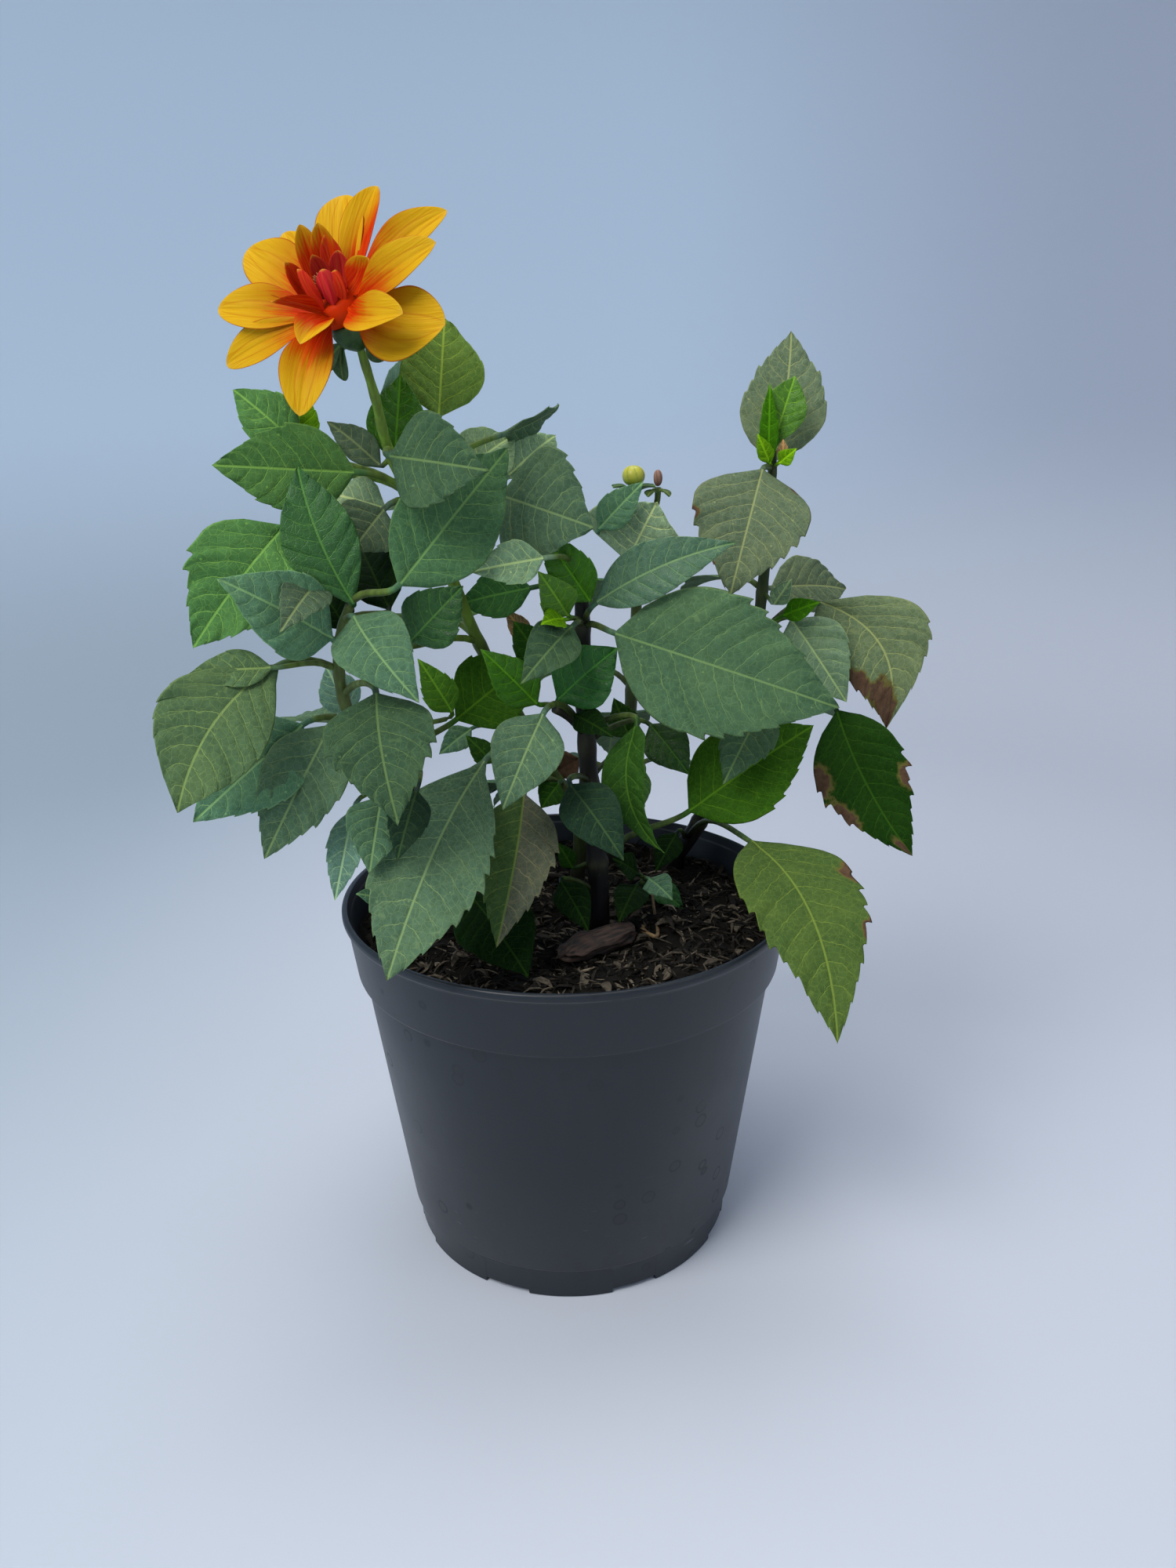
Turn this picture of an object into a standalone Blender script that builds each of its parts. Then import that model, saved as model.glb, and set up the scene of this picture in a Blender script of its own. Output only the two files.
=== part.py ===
"""A potted dahlia: a plastic nursery pot of potting mix with five leafy stems, a low
shoot, one open bloom and two buds. Metres, +Z up. The origin is the middle of the
pot's foot, +X is the right of the photograph and +Y is away from its viewer."""

import math
from collections import namedtuple

import bmesh
import bpy
from mathutils import Matrix, Vector, noise

MM = 0.001

# Pot
RIM_R = 95.0 * MM
RIM_TOP = 153.5 * MM
RIM_LIP = 1.6 * MM
SHOULDER_R = 90.1 * MM
SHOULDER_Z = 125.6 * MM
BODY_TOP_R = 87.2 * MM
FOOT_LINE_R = 72.6 * MM
FOOT_LINE_Z = 15.0 * MM
FOOT_R = 69.9 * MM
WALL = 1.8 * MM
FLOOR_Z = 3.2 * MM
FOOT_RING = 3.0 * MM
PAD_R = 28.0 * MM
POT_SIDES = 36
NOTCHES = 8
NOTCH_WIDE = 20.0 * MM
NOTCH_HIGH = 2.4 * MM
NOTCH_START_DEG = 21.0
DRAIN_HOLES = 6
DRAIN_HOLE_R = 5.0 * MM
DRAIN_RING_R = 48.0 * MM

# Potting mix
SOIL_Z = 140.0 * MM
SOIL_ROUGH = 2.6 * MM
SOIL_SIDES = 30
SOIL_RINGS = 6
FIT_GAP = 0.3 * MM
SIDE_GAP = 1.2 * MM
HOLE_DEPTH = 26.0 * MM
HOLE_ROOM = 0.6 * MM
BARK_PX = (763, 1215)
BARK_SIZE = Vector((16.5, 5.6, 3.4)) * MM
BARK_TURN_DEG = 36.0

# Leaves and stems
BLADE_THICK = 0.75 * MM
BACK_LEAF_FULL = 0.39
PETIOLE_R = 1.15 * MM
STEM_SIDES = 6
STEM_STEPS = 2
STRAIGHT_FOOT = 7.0 * MM

# Bloom: its axis leans left and towards the viewer
BLOOM_PX = (455, 430, -42)
BLOOM_AXIS = Vector((-0.42, -0.38, 0.826)).normalized()
CUP_PROFILE = [(0.0, -4.0), (3.0, -3.6), (5.8, -0.5), (6.9, 3.0), (6.2, 6.0), (0.0, 6.0)]
CORE_PROFILE = [(0.0, 6.4), (6.6, 6.4), (7.4, 10.0), (6.4, 14.0), (0.0, 14.0)]
DISC_PROFILE = [(0.0, 14.4), (2.6, 14.4), (3.0, 18.0), (2.6, 22.0), (0.0, 24.0)]
CORE_SIDES = 10
PETAL_THICK = 0.7 * MM
PETAL_CLAW_R = 1.2 * MM

# The photograph's viewpoint: its eye, its turns in radians and its lens in pixels
EYE = Vector((-0.66, -464.5, 355.4)) * MM
EYE_YAW = 0.022
EYE_PITCH = 0.322
EYE_ROLL = -0.013
LENS_PX = 1500.0
MIDDLE_PX = (750.0, 1000.0)


def eye_axes():
    """The viewpoint's right, up and forward directions."""
    forward = Vector((math.sin(EYE_YAW) * math.cos(EYE_PITCH),
                      math.cos(EYE_YAW) * math.cos(EYE_PITCH),
                      -math.sin(EYE_PITCH)))
    level = Vector((math.cos(EYE_YAW), -math.sin(EYE_YAW), 0.0))
    above = level.cross(forward)
    right = math.cos(EYE_ROLL) * level + math.sin(EYE_ROLL) * above
    up = -math.sin(EYE_ROLL) * level + math.cos(EYE_ROLL) * above
    return right, up, forward


RIGHT, UP, FORWARD = eye_axes()


def sight_line(u, v):
    """The direction from the eye through pixel (u, v)."""
    across = (u - MIDDLE_PX[0]) / LENS_PX
    down = (v - MIDDLE_PX[1]) / LENS_PX
    return across * RIGHT - down * UP + FORWARD


def seen_at(u, v, depth_mm):
    """The point seen at pixel (u, v) that stands depth_mm behind the pot's middle."""
    line = sight_line(u, v)
    return EYE + line * ((depth_mm * MM - EYE.y) / line.y)


def seen_on_soil(u, v):
    """The point of the potting mix seen at pixel (u, v)."""
    line = sight_line(u, v)
    return EYE + line * ((SOIL_Z - EYE.z) / line.z)


# Each stem: where it stands in the mix, mm, its way up as (pixel u, pixel v, depth mm),
# and its radius at the foot and at the top, mm
Stem = namedtuple("Stem", "foot way r_foot r_top")
STEMS = {
    "stem_main": Stem((13, -17), [(762, 1100, -15), (752, 1000, -12), (746, 900, -10),
                                  (743, 800, -8), (741, 715, -5)], 4.6, 2.6),
    "stem_bloom": Stem((4, 13), [(738, 1042, 8), (692, 968, 5), (612, 822, 0),
                                 (560, 700, -14), (500, 585, -28), (478, 505, -37),
                                 (457, 436, -42)], 3.4, 1.8),
    "stem_left": Stem((-26, 8), [(600, 1085, 0), (530, 1020, -18), (468, 955, -35),
                                 (438, 890, -45), (432, 825, -50), (446, 772, -50)], 3.4, 1.6),
    "stem_right": Stem((52, 52), [(892, 1048, 50), (925, 975, 46), (955, 880, 42),
                                  (972, 755, 38), (983, 640, 34), (986, 575, 34)], 4.2, 1.5),
    "stem_back": Stem((22, 62), [(795, 1000, 60), (806, 880, 58), (812, 760, 55),
                                 (809, 660, 51), (808, 622, 50)], 3.8, 1.4),
    "shoot_low": Stem((37, 14), [(826, 1138, 12), (820, 1121, 8)], 2.2, 1.4),
}

# Side shoots: the stem that each grows from, its way and its two radii, mm
Shoot = namedtuple("Shoot", "stem way r_start r_end")
SHOOTS = [
    Shoot("stem_main", [(748, 935, -11), (728, 915, -16), (708, 903, -20)], 2.4, 1.8),
    Shoot("stem_back", [(811, 715, 53), (828, 672, 52), (838, 640, 50), (839, 622, 49)], 1.5, 1.2),
]

# Each leaf: its stem, where its blade starts and ends as (pixel u, pixel v, depth mm),
# and its width in mm. face: how far it turns from the sky, 0, to the viewer, 1.
# roll: its turn about its own midrib, degrees. arch and bow: how far its midrib bends
# up and to the side, as shares of its length. fold: how steeply its halves rise,
# degrees. teeth: how many on each side.
# full: the share of its length at which it is widest.
Leaf = namedtuple("Leaf", "name stem start tip width face roll arch bow fold teeth full",
                  defaults=(0.8, 0, 0.08, 0.0, 8, 3, 0.39))
LEAVES = [
    Leaf("L1", "stem_bloom", (378, 566, -12), (297, 497, -8), 21),
    Leaf("L1b", "stem_bloom", (384, 575, -8), (378, 492, 0), 15, teeth=2),
    Leaf("L2", "stem_bloom", (452, 602, -34), (270, 593, -38), 31, 0.95, -4, 0.05, 0, 4),
    Leaf("L3", "stem_bloom", (484, 594, -26), (417, 538, -22), 13, 0.9, 15, teeth=2),
    Leaf("L4", "stem_bloom", (500, 582, -54), (623, 600, -77), 32, 0.95, 0, 0.06, 0, 5, teeth=4),
    Leaf("L5", "stem_bloom", (503, 586, -22), (511, 478, -14), 22, 1.0, 0, 0.05),
    Leaf("L6", "stem_bloom", (484, 530, -14), (513, 453, -2), 16, 1.0, 50, teeth=2),
    Leaf("L7", "stem_bloom", (560, 530, -8), (567, 405, 8), 32, 1.0, 0, 0.05, 0, 6, teeth=4),
    Leaf("L8", "stem_bloom", (645, 553, -2), (713, 516, 16), 22, 1.0, 72, 0.04, teeth=2),
    Leaf("L9", "stem_bloom", (590, 605, -8), (655, 556, 8), 24, 0.7),
    Leaf("L10", "stem_bloom", (648, 608, 0), (708, 556, 22), 20),
    Leaf("L11", "stem_bloom", (640, 632, -18), (758, 673, -34), 45, 0.95, 0, 0.05, 0, 6, teeth=4),
    Leaf("L21", "stem_bloom", (489, 650, -30), (448, 704, -36), 25, 0.9, teeth=2),
    Leaf("L21b", "stem_bloom", (490, 648, -20), (424, 630, -10), 18, 0.9, teeth=2),
    Leaf("L63", "stem_bloom", (524, 818, -24), (591, 747, -24), 24, 0.9, teeth=2),
    Leaf("L12", "stem_left", (510, 745, -64), (648, 571, -32), 36, 1.0, 0, 0.03),
    Leaf("L14", "stem_left", (451, 770, -52), (379, 594, -50), 26, 1.0, 0, 0.05, -0.05, 6, full=0.48),
    Leaf("L15", "stem_left", (452, 788, -58), (535, 897, -88), 27, 0.8, 0, 0.12, 0.04, teeth=2),
    Leaf("L16", "stem_left", (362, 672, -48), (246, 827, -66), 38, 0.8, 0, 0.14),
    Leaf("L17", "stem_left", (422, 814, -52), (277, 738, -80), 30, 0.8, 0, 0.06),
    Leaf("L18", "stem_left", (405, 745, -48), (357, 807, -88), 17, teeth=2),
    Leaf("L19", "stem_left", (496, 775, -40), (458, 695, -12), 22, 0.9, teeth=2),
    Leaf("L20", "stem_left", (442, 802, -38), (408, 750, -28), 15, 0.9, teeth=2),
    Leaf("L22a", "stem_left", (345, 852, -64), (238, 862, -72), 14, 0.7, 0, 0.06, teeth=2),
    Leaf("L22", "stem_left", (352, 850, -60), (226, 1037, -92), 38, 0.9, 0, 0.1, 0.1, 6, teeth=4, full=0.5),
    Leaf("L23", "stem_left", (385, 925, -48), (246, 1049, -74), 34, 0.9, 0, 0.08, 0, 6),
    Leaf("L24", "stem_left", (420, 927, -48), (337, 1096, -72), 31, 0.9, 0, 0.08, 0, 6),
    Leaf("L80", "stem_left", (446, 912, -36), (416, 850, -28), 16, 0.85, teeth=2),
    Leaf("L25", "stem_left", (480, 886, -72), (508, 1052, -106), 37, 0.9, 0, 0.12, 0.03),
    Leaf("L27", "stem_left", (450, 1035, -46), (427, 1149, -62), 14, 0.9, teeth=2),
    Leaf("L26", "stem_left", (486, 1018, -68), (471, 1114, -92), 22, 0.9, 0, 0.1, teeth=2),
    Leaf("L66", "stem_left", (531, 1010, -72), (506, 1098, -92), 15, teeth=2),
    Leaf("L31", "stem_left", (600, 1142, -30), (674, 1247, -68), 32, 0.6, 0, 0.06, teeth=2, full=0.45),
    Leaf("L74", "stem_left", (490, 1148, -16), (454, 1140, -22), 9, 0.7, teeth=2),
    Leaf("L28", "stem_bloom", (617, 972, -36), (493, 1252, -104), 43, 0.9, 0, 0.1, 0.03, 6, teeth=4, full=0.53),
    Leaf("L29", "stem_bloom", (668, 1014, -28), (633, 1209, -72), 31, 0.9, 0, 0.1, -0.02),
    Leaf("L82", "stem_bloom", (712, 1000, -6), (690, 1031, -14), 13, 0.85, teeth=2),
    Leaf("L70", "stem_left", (576, 907, -20), (533, 840, -30), 14, 0.9, teeth=2),
    Leaf("L72", "stem_bloom", (628, 972, -10), (594, 938, -14), 10, 0.9, teeth=2),
    Leaf("L81", "stem_bloom", (600, 930, 4), (560, 962, -4), 11, 0.85, teeth=2),
    Leaf("L30", "stem_main", (692, 912, -44), (641, 1033, -66), 27, 0.8, 0, 0.1),
    Leaf("L32", "stem_main", (716, 1125, -26), (751, 1188, -42), 15, 0.7, 0, 0.1, teeth=2),
    Leaf("L33", "stem_main", (728, 1002, -36), (796, 1098, -60), 23, 0.8, 0, 0.12, teeth=2),
    Leaf("L34", "stem_main", (812, 926, -30), (847, 1088, -44), 21, 0.9, 35, 0.1, 0.14, 14, full=0.32),
    Leaf("L78", "stem_main", (730, 1106, -16), (710, 1074, -20), 8, teeth=2),
    Leaf("L36a", "shoot_low", (812, 1114, 2), (781, 1095, -4), 13, 0.6, teeth=2),
    Leaf("L36b", "shoot_low", (829, 1122, 3), (858, 1148, -16), 13, 0.7, teeth=2),
    Leaf("L36c", "shoot_low", (812, 1130, -2), (789, 1177, -29), 15, 0.7, teeth=2),
    Leaf("L36d", "shoot_low", (832, 1130, 12), (872, 1160, 4), 12, 0.5, teeth=2),
    Leaf("L37", "stem_right", (958, 1074, -20), (1068, 1332, -97), 46, 0.9, -15, 0.13, -0.07, 6, teeth=4),
    Leaf("L38", "stem_main", (880, 1034, -12), (1038, 925, -2), 40, 0.8, 0, 0.06, 0, 6, teeth=4),
    Leaf("L35", "stem_right", (862, 1064, 34), (836, 1112, 18), 13, teeth=2),
    Leaf("L39", "stem_right", (972, 903, 2), (922, 1001, -27), 24, 0.9),
    Leaf("L40", "stem_main", (785, 808, -22), (1071, 903, -36), 56, 0.95, 0, 0.05, 0, 6, teeth=4),
    Leaf("L41", "stem_right", (972, 600, 26), (931, 760, 0), 48, 0.95),
    Leaf("L42", "stem_right", (985, 588, 40), (1009, 423, 56), 36, 1.0, 0, 0.04, 0.03, 6, teeth=4),
    Leaf("L43", "stem_right", (984, 574, 32), (1014, 479, 30), 18, 1.0, 0, 0.06, 0, 10, full=0.55),
    Leaf("L43b", "stem_right", (980, 590, 31), (982, 488, 26), 8, 1.0, teeth=2),
    Leaf("L44a", "stem_right", (982, 590, 31), (966, 553, 26), 7, 1.0, teeth=2),
    Leaf("L44b", "stem_right", (994, 590, 30), (1016, 572, 24), 7, 1.0, teeth=2),
    Leaf("L45", "stem_right", (998, 584, 30), (999, 560, 28), 5, 1.0, teeth=2),
    Leaf("L58", "stem_right", (1010, 790, 36), (1080, 896, 16), 31, 0.9, 0, 0.1),
    Leaf("L59", "stem_right", (1046, 768, 42), (1130, 930, 22), 45, 0.85, 0, 0.1, -0.22),
    Leaf("L60", "stem_right", (985, 750, 56), (1078, 752, 74), 29, 0.7),
    Leaf("L61", "stem_right", (1068, 908, 24), (1164, 1092, -4), 39, 0.9, 0, 0.1, 0.05),
    Leaf("L62a", "stem_right", (988, 770, 30), (1010, 738, 22), 9, 1.0, teeth=2),
    Leaf("L62b", "stem_right", (1000, 785, 30), (1046, 768, 24), 10, teeth=2),
    Leaf("L46", "stem_main", (762, 768, -16), (940, 692, -24), 22, 0.85, 0, 0.08, -0.04),
    Leaf("L47", "stem_back", (800, 715, 40), (838, 640, 34), 48, 0.95, 0, 0.05, 0, 6),
    Leaf("L48", "stem_back", (764, 674, 36), (821, 614, 30), 15, 0.9, teeth=2),
    Leaf("L76", "stem_back", (822, 985, 34), (815, 1038, 24), 8, teeth=2),
    Leaf("L49", "stem_main", (752, 766, -18), (685, 672, -28), 18, 0.9, 0, 0.1, 0, 12, teeth=2),
    Leaf("L50a", "stem_main", (724, 784, -24), (686, 728, -36), 15, 0.9, 0, 0.08, 0, 10, teeth=2),
    Leaf("L50b", "stem_main", (718, 790, -28), (690, 796, -40), 10, 0.7, 0, 0.08, 0, 10, teeth=2),
    Leaf("L51", "stem_main", (729, 800, -26), (664, 873, -50), 20, 0.85, 0, 0.12, teeth=2),
    Leaf("L79", "stem_main", (694, 848, -20), (655, 792, -16), 15, 0.85, teeth=2),
    Leaf("L52", "stem_main", (712, 892, -20), (788, 826, -17), 27, 0.85, 0, 0.1, 0, 10),
    Leaf("L53", "stem_main", (684, 897, -26), (613, 828, -34), 18, 0.9, 0, 0.08, 0, 10, teeth=2),
    Leaf("L54", "stem_left", (583, 917, -14), (676, 842, -8), 32, 0.85, 0, 0.04, 0, 6, full=0.45),
    Leaf("L55", "stem_main", (734, 913, -20), (782, 940, -36), 12, 0.8, 0, 0.1, 0, 12, teeth=2),
    Leaf("L68", "stem_main", (738, 968, 14), (704, 988, 14), 13, 0.85, teeth=2),
    Leaf("L57", "stem_main", (830, 925, -6), (879, 988, -18), 19, 0.85, 0, 0.1, teeth=2),
    Leaf("L83", "stem_main", (802, 940, 8), (783, 890, 2), 14, 0.85, teeth=2),
    Leaf("L64", "stem_main", (676, 750, -2), (586, 771, 6), 20, 0.8, 0, 0.06, 0, 6, teeth=2),
    Leaf("L67", "stem_main", (672, 814, 2), (645, 778, 0), 9, 0.85, teeth=2),
    Leaf("L65", "stem_main", (692, 712, -42), (601, 730, -50), 16, 0.85, 0, 0.06, teeth=2),
]

# Leaves that the photograph doesn't show, behind the plant: the stem each grows from, the
# height of its joint, mm, the way it points, degrees from +X towards +Y, the length of
# its stalk and of its blade, mm, its width, mm, and how steeply it hangs, degrees
Behind = namedtuple("Behind", "name stem z_mm turn stalk length width hang")
LEAVES_BEHIND = [
    Behind("B1", "stem_back", 178, 40, 20, 66, 40, 30),
    Behind("B2", "stem_back", 178, 150, 20, 62, 38, 30),
    Behind("B3", "stem_back", 204, 95, 18, 64, 38, 35),
    Behind("B4", "stem_back", 232, 12, 16, 52, 30, 20),
    Behind("B5", "stem_back", 232, 140, 20, 60, 36, 25),
    Behind("B7", "stem_back", 268, 110, 12, 48, 28, 25),
    Behind("B8", "stem_right", 172, 70, 16, 56, 34, 35),
    Behind("B9", "stem_right", 208, 28, 18, 58, 36, 20),
    Behind("B11", "stem_right", 270, 130, 12, 40, 24, 20),
    Behind("B12", "stem_bloom", 186, 130, 24, 58, 34, 25),
    Behind("B14", "stem_bloom", 250, 140, 22, 58, 34, 20),
    Behind("B15", "stem_bloom", 270, 108, 20, 54, 30, 20),
    Behind("B16", "stem_bloom", 300, 130, 16, 50, 28, 15),
    Behind("B17", "stem_left", 196, 112, 20, 50, 30, 30),
    Behind("B18", "stem_left", 228, 140, 20, 46, 28, 20),
]

# The bloom's petals: the tip's pixel and its height above the receptacle along the
# bloom's axis, mm, the width, mm, how far it bends up and to the side, as shares of its
# length, how steeply its sides rise, degrees, and for an inner one how far its base stands
# from the axis, mm, towards the viewer and to the viewer's right
Petal = namedtuple("Petal", "name tip high width arch bow fold base", defaults=(None,))
PETALS = [
    Petal("P1", (438, 249), 31, 18, 0.08, 0.0, 14),
    Petal("P2", (480, 237), 30, 14, 0.05, -0.03, 28),
    Petal("P3", (570, 268), 18, 14, 0.08, -0.05, 16),
    Petal("P4", (556, 309), 18, 15, 0.12, 0.04, 16),
    Petal("P5", (568, 414), -2, 25, 0.05, 0.11, 8),
    Petal("P6", (514, 400), 9, 15, 0.10, 0.1, 18),
    Petal("P7", (382, 531), -3, 17, 0.12, 0.03, 12),
    Petal("P8", (383, 439), 14, 12, 0.12, 0.0, 22),
    Petal("P9", (289, 466), 10, 14, 0.12, -0.03, 14),
    Petal("P10", (278, 394), 25, 17, 0.05, 0.0, 14),
    Petal("P11", (316, 318), 33, 20, 0.06, 0.0, 12),
    Petal("P11b", (362, 297), 30, 12, 0.06, 0.0, 14),
    Petal("P12", (382, 286), 36, 9, -0.06, 0.0, 18, (-5.0, -2.5)),
    Petal("P13", (405, 284), 34, 9, -0.06, 0.0, 18, (-5.5, 0.5)),
    Petal("P14", (416, 298), 30, 8, -0.06, 0.0, 20, (-5.0, 3.0)),
    Petal("P15", (398, 325), 28, 7, -0.08, 0.0, 24, (-4.0, 0.5)),
    Petal("P16", (470, 329), 20, 13, -0.10, 0.0, 24, (2.0, 5.0)),
    Petal("P17", (411, 343), 24.5, 8, -0.12, 0.0, 30, (4.6, -1.0)),
    Petal("P18", (427, 344), 22, 9, -0.12, 0.0, 30, (4.6, 2.6)),
    Petal("P19", (363, 335), 31, 8, -0.08, 0.0, 24, (0.5, -5.5)),
    Petal("P20", (379, 343), 28, 8, -0.08, 0.0, 24, (3.4, -4.6)),
    Petal("P21", (347, 385), 26, 11, 0.05, 0.0, 18, (4.6, -5.0)),
    Petal("P22", (431, 319), 25, 8, -0.08, 0.0, 24, (-3.5, 3.6)),
]

# The green bracts under the bloom: two that hang in view, as the tip's pixel and its
# height along the axis, mm, and the rest, as turns about the axis in degrees
BRACTS_SEEN = [((439, 485), -12), ((489, 461), -9)]
BRACTS_UNSEEN = [60, 105, 150, 195, 240]
BRACT_REACH = 17.0 * MM
BRACT_WIDTH = 7.5 * MM

# The two buds at the top of the stem behind: the radius and half height, mm, and the
# bracts' number, reach and rise, mm
Bud = namedtuple("Bud", "name colour radius half_high bracts reach rise")
BUD_YELLOW = Bud("bud_yellow", (0.62, 0.6, 0.06), 5.0, 4.3, 6, 10.5, 0.5)
BUD_SPENT = Bud("bud_spent", (0.5, 0.24, 0.2), 2.1, 3.4, 4, 6.5, -3.5)


def new_material(name, colour, roughness):
    material = bpy.data.materials.new(name)
    material.use_nodes = True
    shader = material.node_tree.nodes["Principled BSDF"]
    shader.inputs["Base Color"].default_value = (*colour, 1.0)
    shader.inputs["Roughness"].default_value = roughness
    shader.inputs["Metallic"].default_value = 0.0
    material.diffuse_color = (*colour, 1.0)
    return material


def new_object(name, points, faces, material):
    mesh = bpy.data.meshes.new(name)
    mesh.from_pydata([tuple(p) for p in points], [], faces)
    mesh.materials.append(material)
    made = bpy.data.objects.new(name, mesh)
    bpy.context.scene.collection.objects.link(made)
    return made


def drop(made):
    mesh = made.data
    bpy.data.objects.remove(made)
    bpy.data.meshes.remove(mesh)


def keep_one_body(made):
    """Keeps the largest body of a mesh, in triangles. Faces belong to one body where
    they meet along an edge that no third face shares."""
    shape = bmesh.new()
    shape.from_mesh(made.data)
    bmesh.ops.triangulate(shape, faces=shape.faces)
    left = set(shape.faces)
    bodies = []
    while left:
        body = []
        reach = [left.pop()]
        while reach:
            face = reach.pop()
            body.append(face)
            for edge in face.edges:
                if len(edge.link_faces) != 2:
                    continue
                for other in edge.link_faces:
                    if other in left:
                        left.discard(other)
                        reach.append(other)
        bodies.append(body)
    bodies.sort(key=len)
    for body in bodies[:-1]:
        bmesh.ops.delete(shape, geom=body, context="FACES")
    shape.to_mesh(made.data)
    shape.free()


def combine(made, others, operation, solver):
    """Joins others to made, or cuts them from it, by one Boolean on a collection."""
    group = bpy.data.collections.new("tools")
    bpy.context.scene.collection.children.link(group)
    for other in others:
        bpy.context.scene.collection.objects.unlink(other)
        group.objects.link(other)
    step = made.modifiers.new("join", "BOOLEAN")
    step.operation = operation
    step.operand_type = "COLLECTION"
    step.collection = group
    step.solver = solver
    depsgraph = bpy.context.evaluated_depsgraph_get()
    joined = bpy.data.meshes.new_from_object(made.evaluated_get(depsgraph))
    made.modifiers.remove(step)
    old = made.data
    made.data = joined
    joined.name = made.name
    bpy.data.meshes.remove(old)
    for other in others:
        drop(other)
    bpy.data.collections.remove(group)
    keep_one_body(made)


def turned(profile, sides, name, material):
    """A closed turned solid. The profile of (radius, z) runs from axis to axis."""
    points = []
    faces = []
    rings = []
    for radius, z in profile:
        if radius == 0.0:
            rings.append([len(points)] * sides)
            points.append((0.0, 0.0, z))
            continue
        rings.append([len(points) + k for k in range(sides)])
        for k in range(sides):
            turn = 2.0 * math.pi * k / sides
            points.append((radius * math.cos(turn), radius * math.sin(turn), z))
    for low, high in zip(rings, rings[1:]):
        for k in range(sides):
            j = (k + 1) % sides
            corners = [low[k], low[j], high[j], high[k]]
            faces.append(list(dict.fromkeys(corners)))
    return new_object(name, points, faces, material)


def shade(made, degrees):
    made.data.shade_smooth()
    made.data.set_sharp_from_angle(angle=math.radians(degrees))


def inner_r(z):
    """The pot's inside radius at height z."""
    if z > SHOULDER_Z:
        share = (z - SHOULDER_Z) / (RIM_TOP - SHOULDER_Z)
        return SHOULDER_R + (RIM_R - SHOULDER_R) * share - WALL - RIM_LIP
    share = (z - FOOT_LINE_Z) / (SHOULDER_Z - FOOT_LINE_Z)
    return FOOT_LINE_R + (BODY_TOP_R - FOOT_LINE_R) * share - WALL


def make_pot():
    """The pot's wall from the underside of its floor, up outside and down inside."""
    plastic = new_material("black_plastic", (0.035, 0.037, 0.04), 0.38)
    profile = [
        (0.0, 0.0),
        (PAD_R, 0.0),
        (PAD_R + 2.0 * MM, FOOT_RING),
        (FOOT_R - 7.0 * MM, FOOT_RING),
        (FOOT_R - 5.0 * MM, 0.0),
        (FOOT_R, 0.0),
        (FOOT_R + 0.8 * MM, FOOT_LINE_Z - 1.0 * MM),
        (FOOT_LINE_R, FOOT_LINE_Z),
        (BODY_TOP_R, SHOULDER_Z - 2.0 * MM),
        (SHOULDER_R, SHOULDER_Z),
        (RIM_R - RIM_LIP, RIM_TOP - 4.0 * MM),
        (RIM_R, RIM_TOP - 3.2 * MM),
        (RIM_R, RIM_TOP - 0.5 * MM),
        (RIM_R - 0.6 * MM, RIM_TOP),
        (RIM_R - WALL - 0.4 * MM, RIM_TOP),
        (inner_r(RIM_TOP - 4.0 * MM), RIM_TOP - 4.0 * MM),
        (inner_r(SHOULDER_Z + 2.0 * MM), SHOULDER_Z + 2.0 * MM),
        (inner_r(SHOULDER_Z - 2.0 * MM), SHOULDER_Z - 2.0 * MM),
        (inner_r(FOOT_LINE_Z), FOOT_LINE_Z),
        (FOOT_R - 3.0 * MM, FOOT_RING + FLOOR_Z),
        (0.0, FOOT_RING + FLOOR_Z),
    ]
    pot = turned(profile, POT_SIDES, "pot", plastic)
    cutters = []
    for k in range(NOTCHES):
        turn = math.radians(NOTCH_START_DEG - 90.0 + 360.0 / NOTCHES * k)
        out = Vector((math.cos(turn), math.sin(turn), 0.0))
        along = Vector((-math.sin(turn), math.cos(turn), 0.0))
        near = out * (FOOT_R - 12.0 * MM)
        far = out * (FOOT_R + 6.0 * MM)
        half = along * NOTCH_WIDE / 2
        low = Vector((0, 0, -2.0 * MM))
        high = Vector((0, 0, NOTCH_HIGH))
        ends = [near - half, far - half, far + half, near + half]
        points = [p + low for p in ends]
        points += [p + high for p in ends]
        faces = [(3, 2, 1, 0), (4, 5, 6, 7), (0, 1, 5, 4), (1, 2, 6, 5), (2, 3, 7, 6), (3, 0, 4, 7)]
        cutters.append(new_object("notch", points, faces, plastic))
    for k in range(DRAIN_HOLES):
        turn = 2.0 * math.pi * k / DRAIN_HOLES
        middle = Vector((math.cos(turn), math.sin(turn), 0.0)) * DRAIN_RING_R
        hole = turned([(0.0, 0.0), (DRAIN_HOLE_R, 0.0), (DRAIN_HOLE_R, 12.0 * MM), (0.0, 12.0 * MM)],
                      10, "hole", plastic)
        hole.data.transform(Matrix.Translation(middle))
        cutters.append(hole)
    combine(pot, cutters, "DIFFERENCE", "EXACT")
    shade(pot, 35)
    return pot


def soil_height(x, y):
    """The mix's rough top: broad humps and the sharp edges of chips."""
    broad = noise.noise(Vector((x, y, 0.0)) * 28.0)
    chips = noise.noise(Vector((x, y, 0.3)) * 120.0)
    return SOIL_Z + SOIL_ROUGH * (0.5 * broad + chips)


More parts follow.
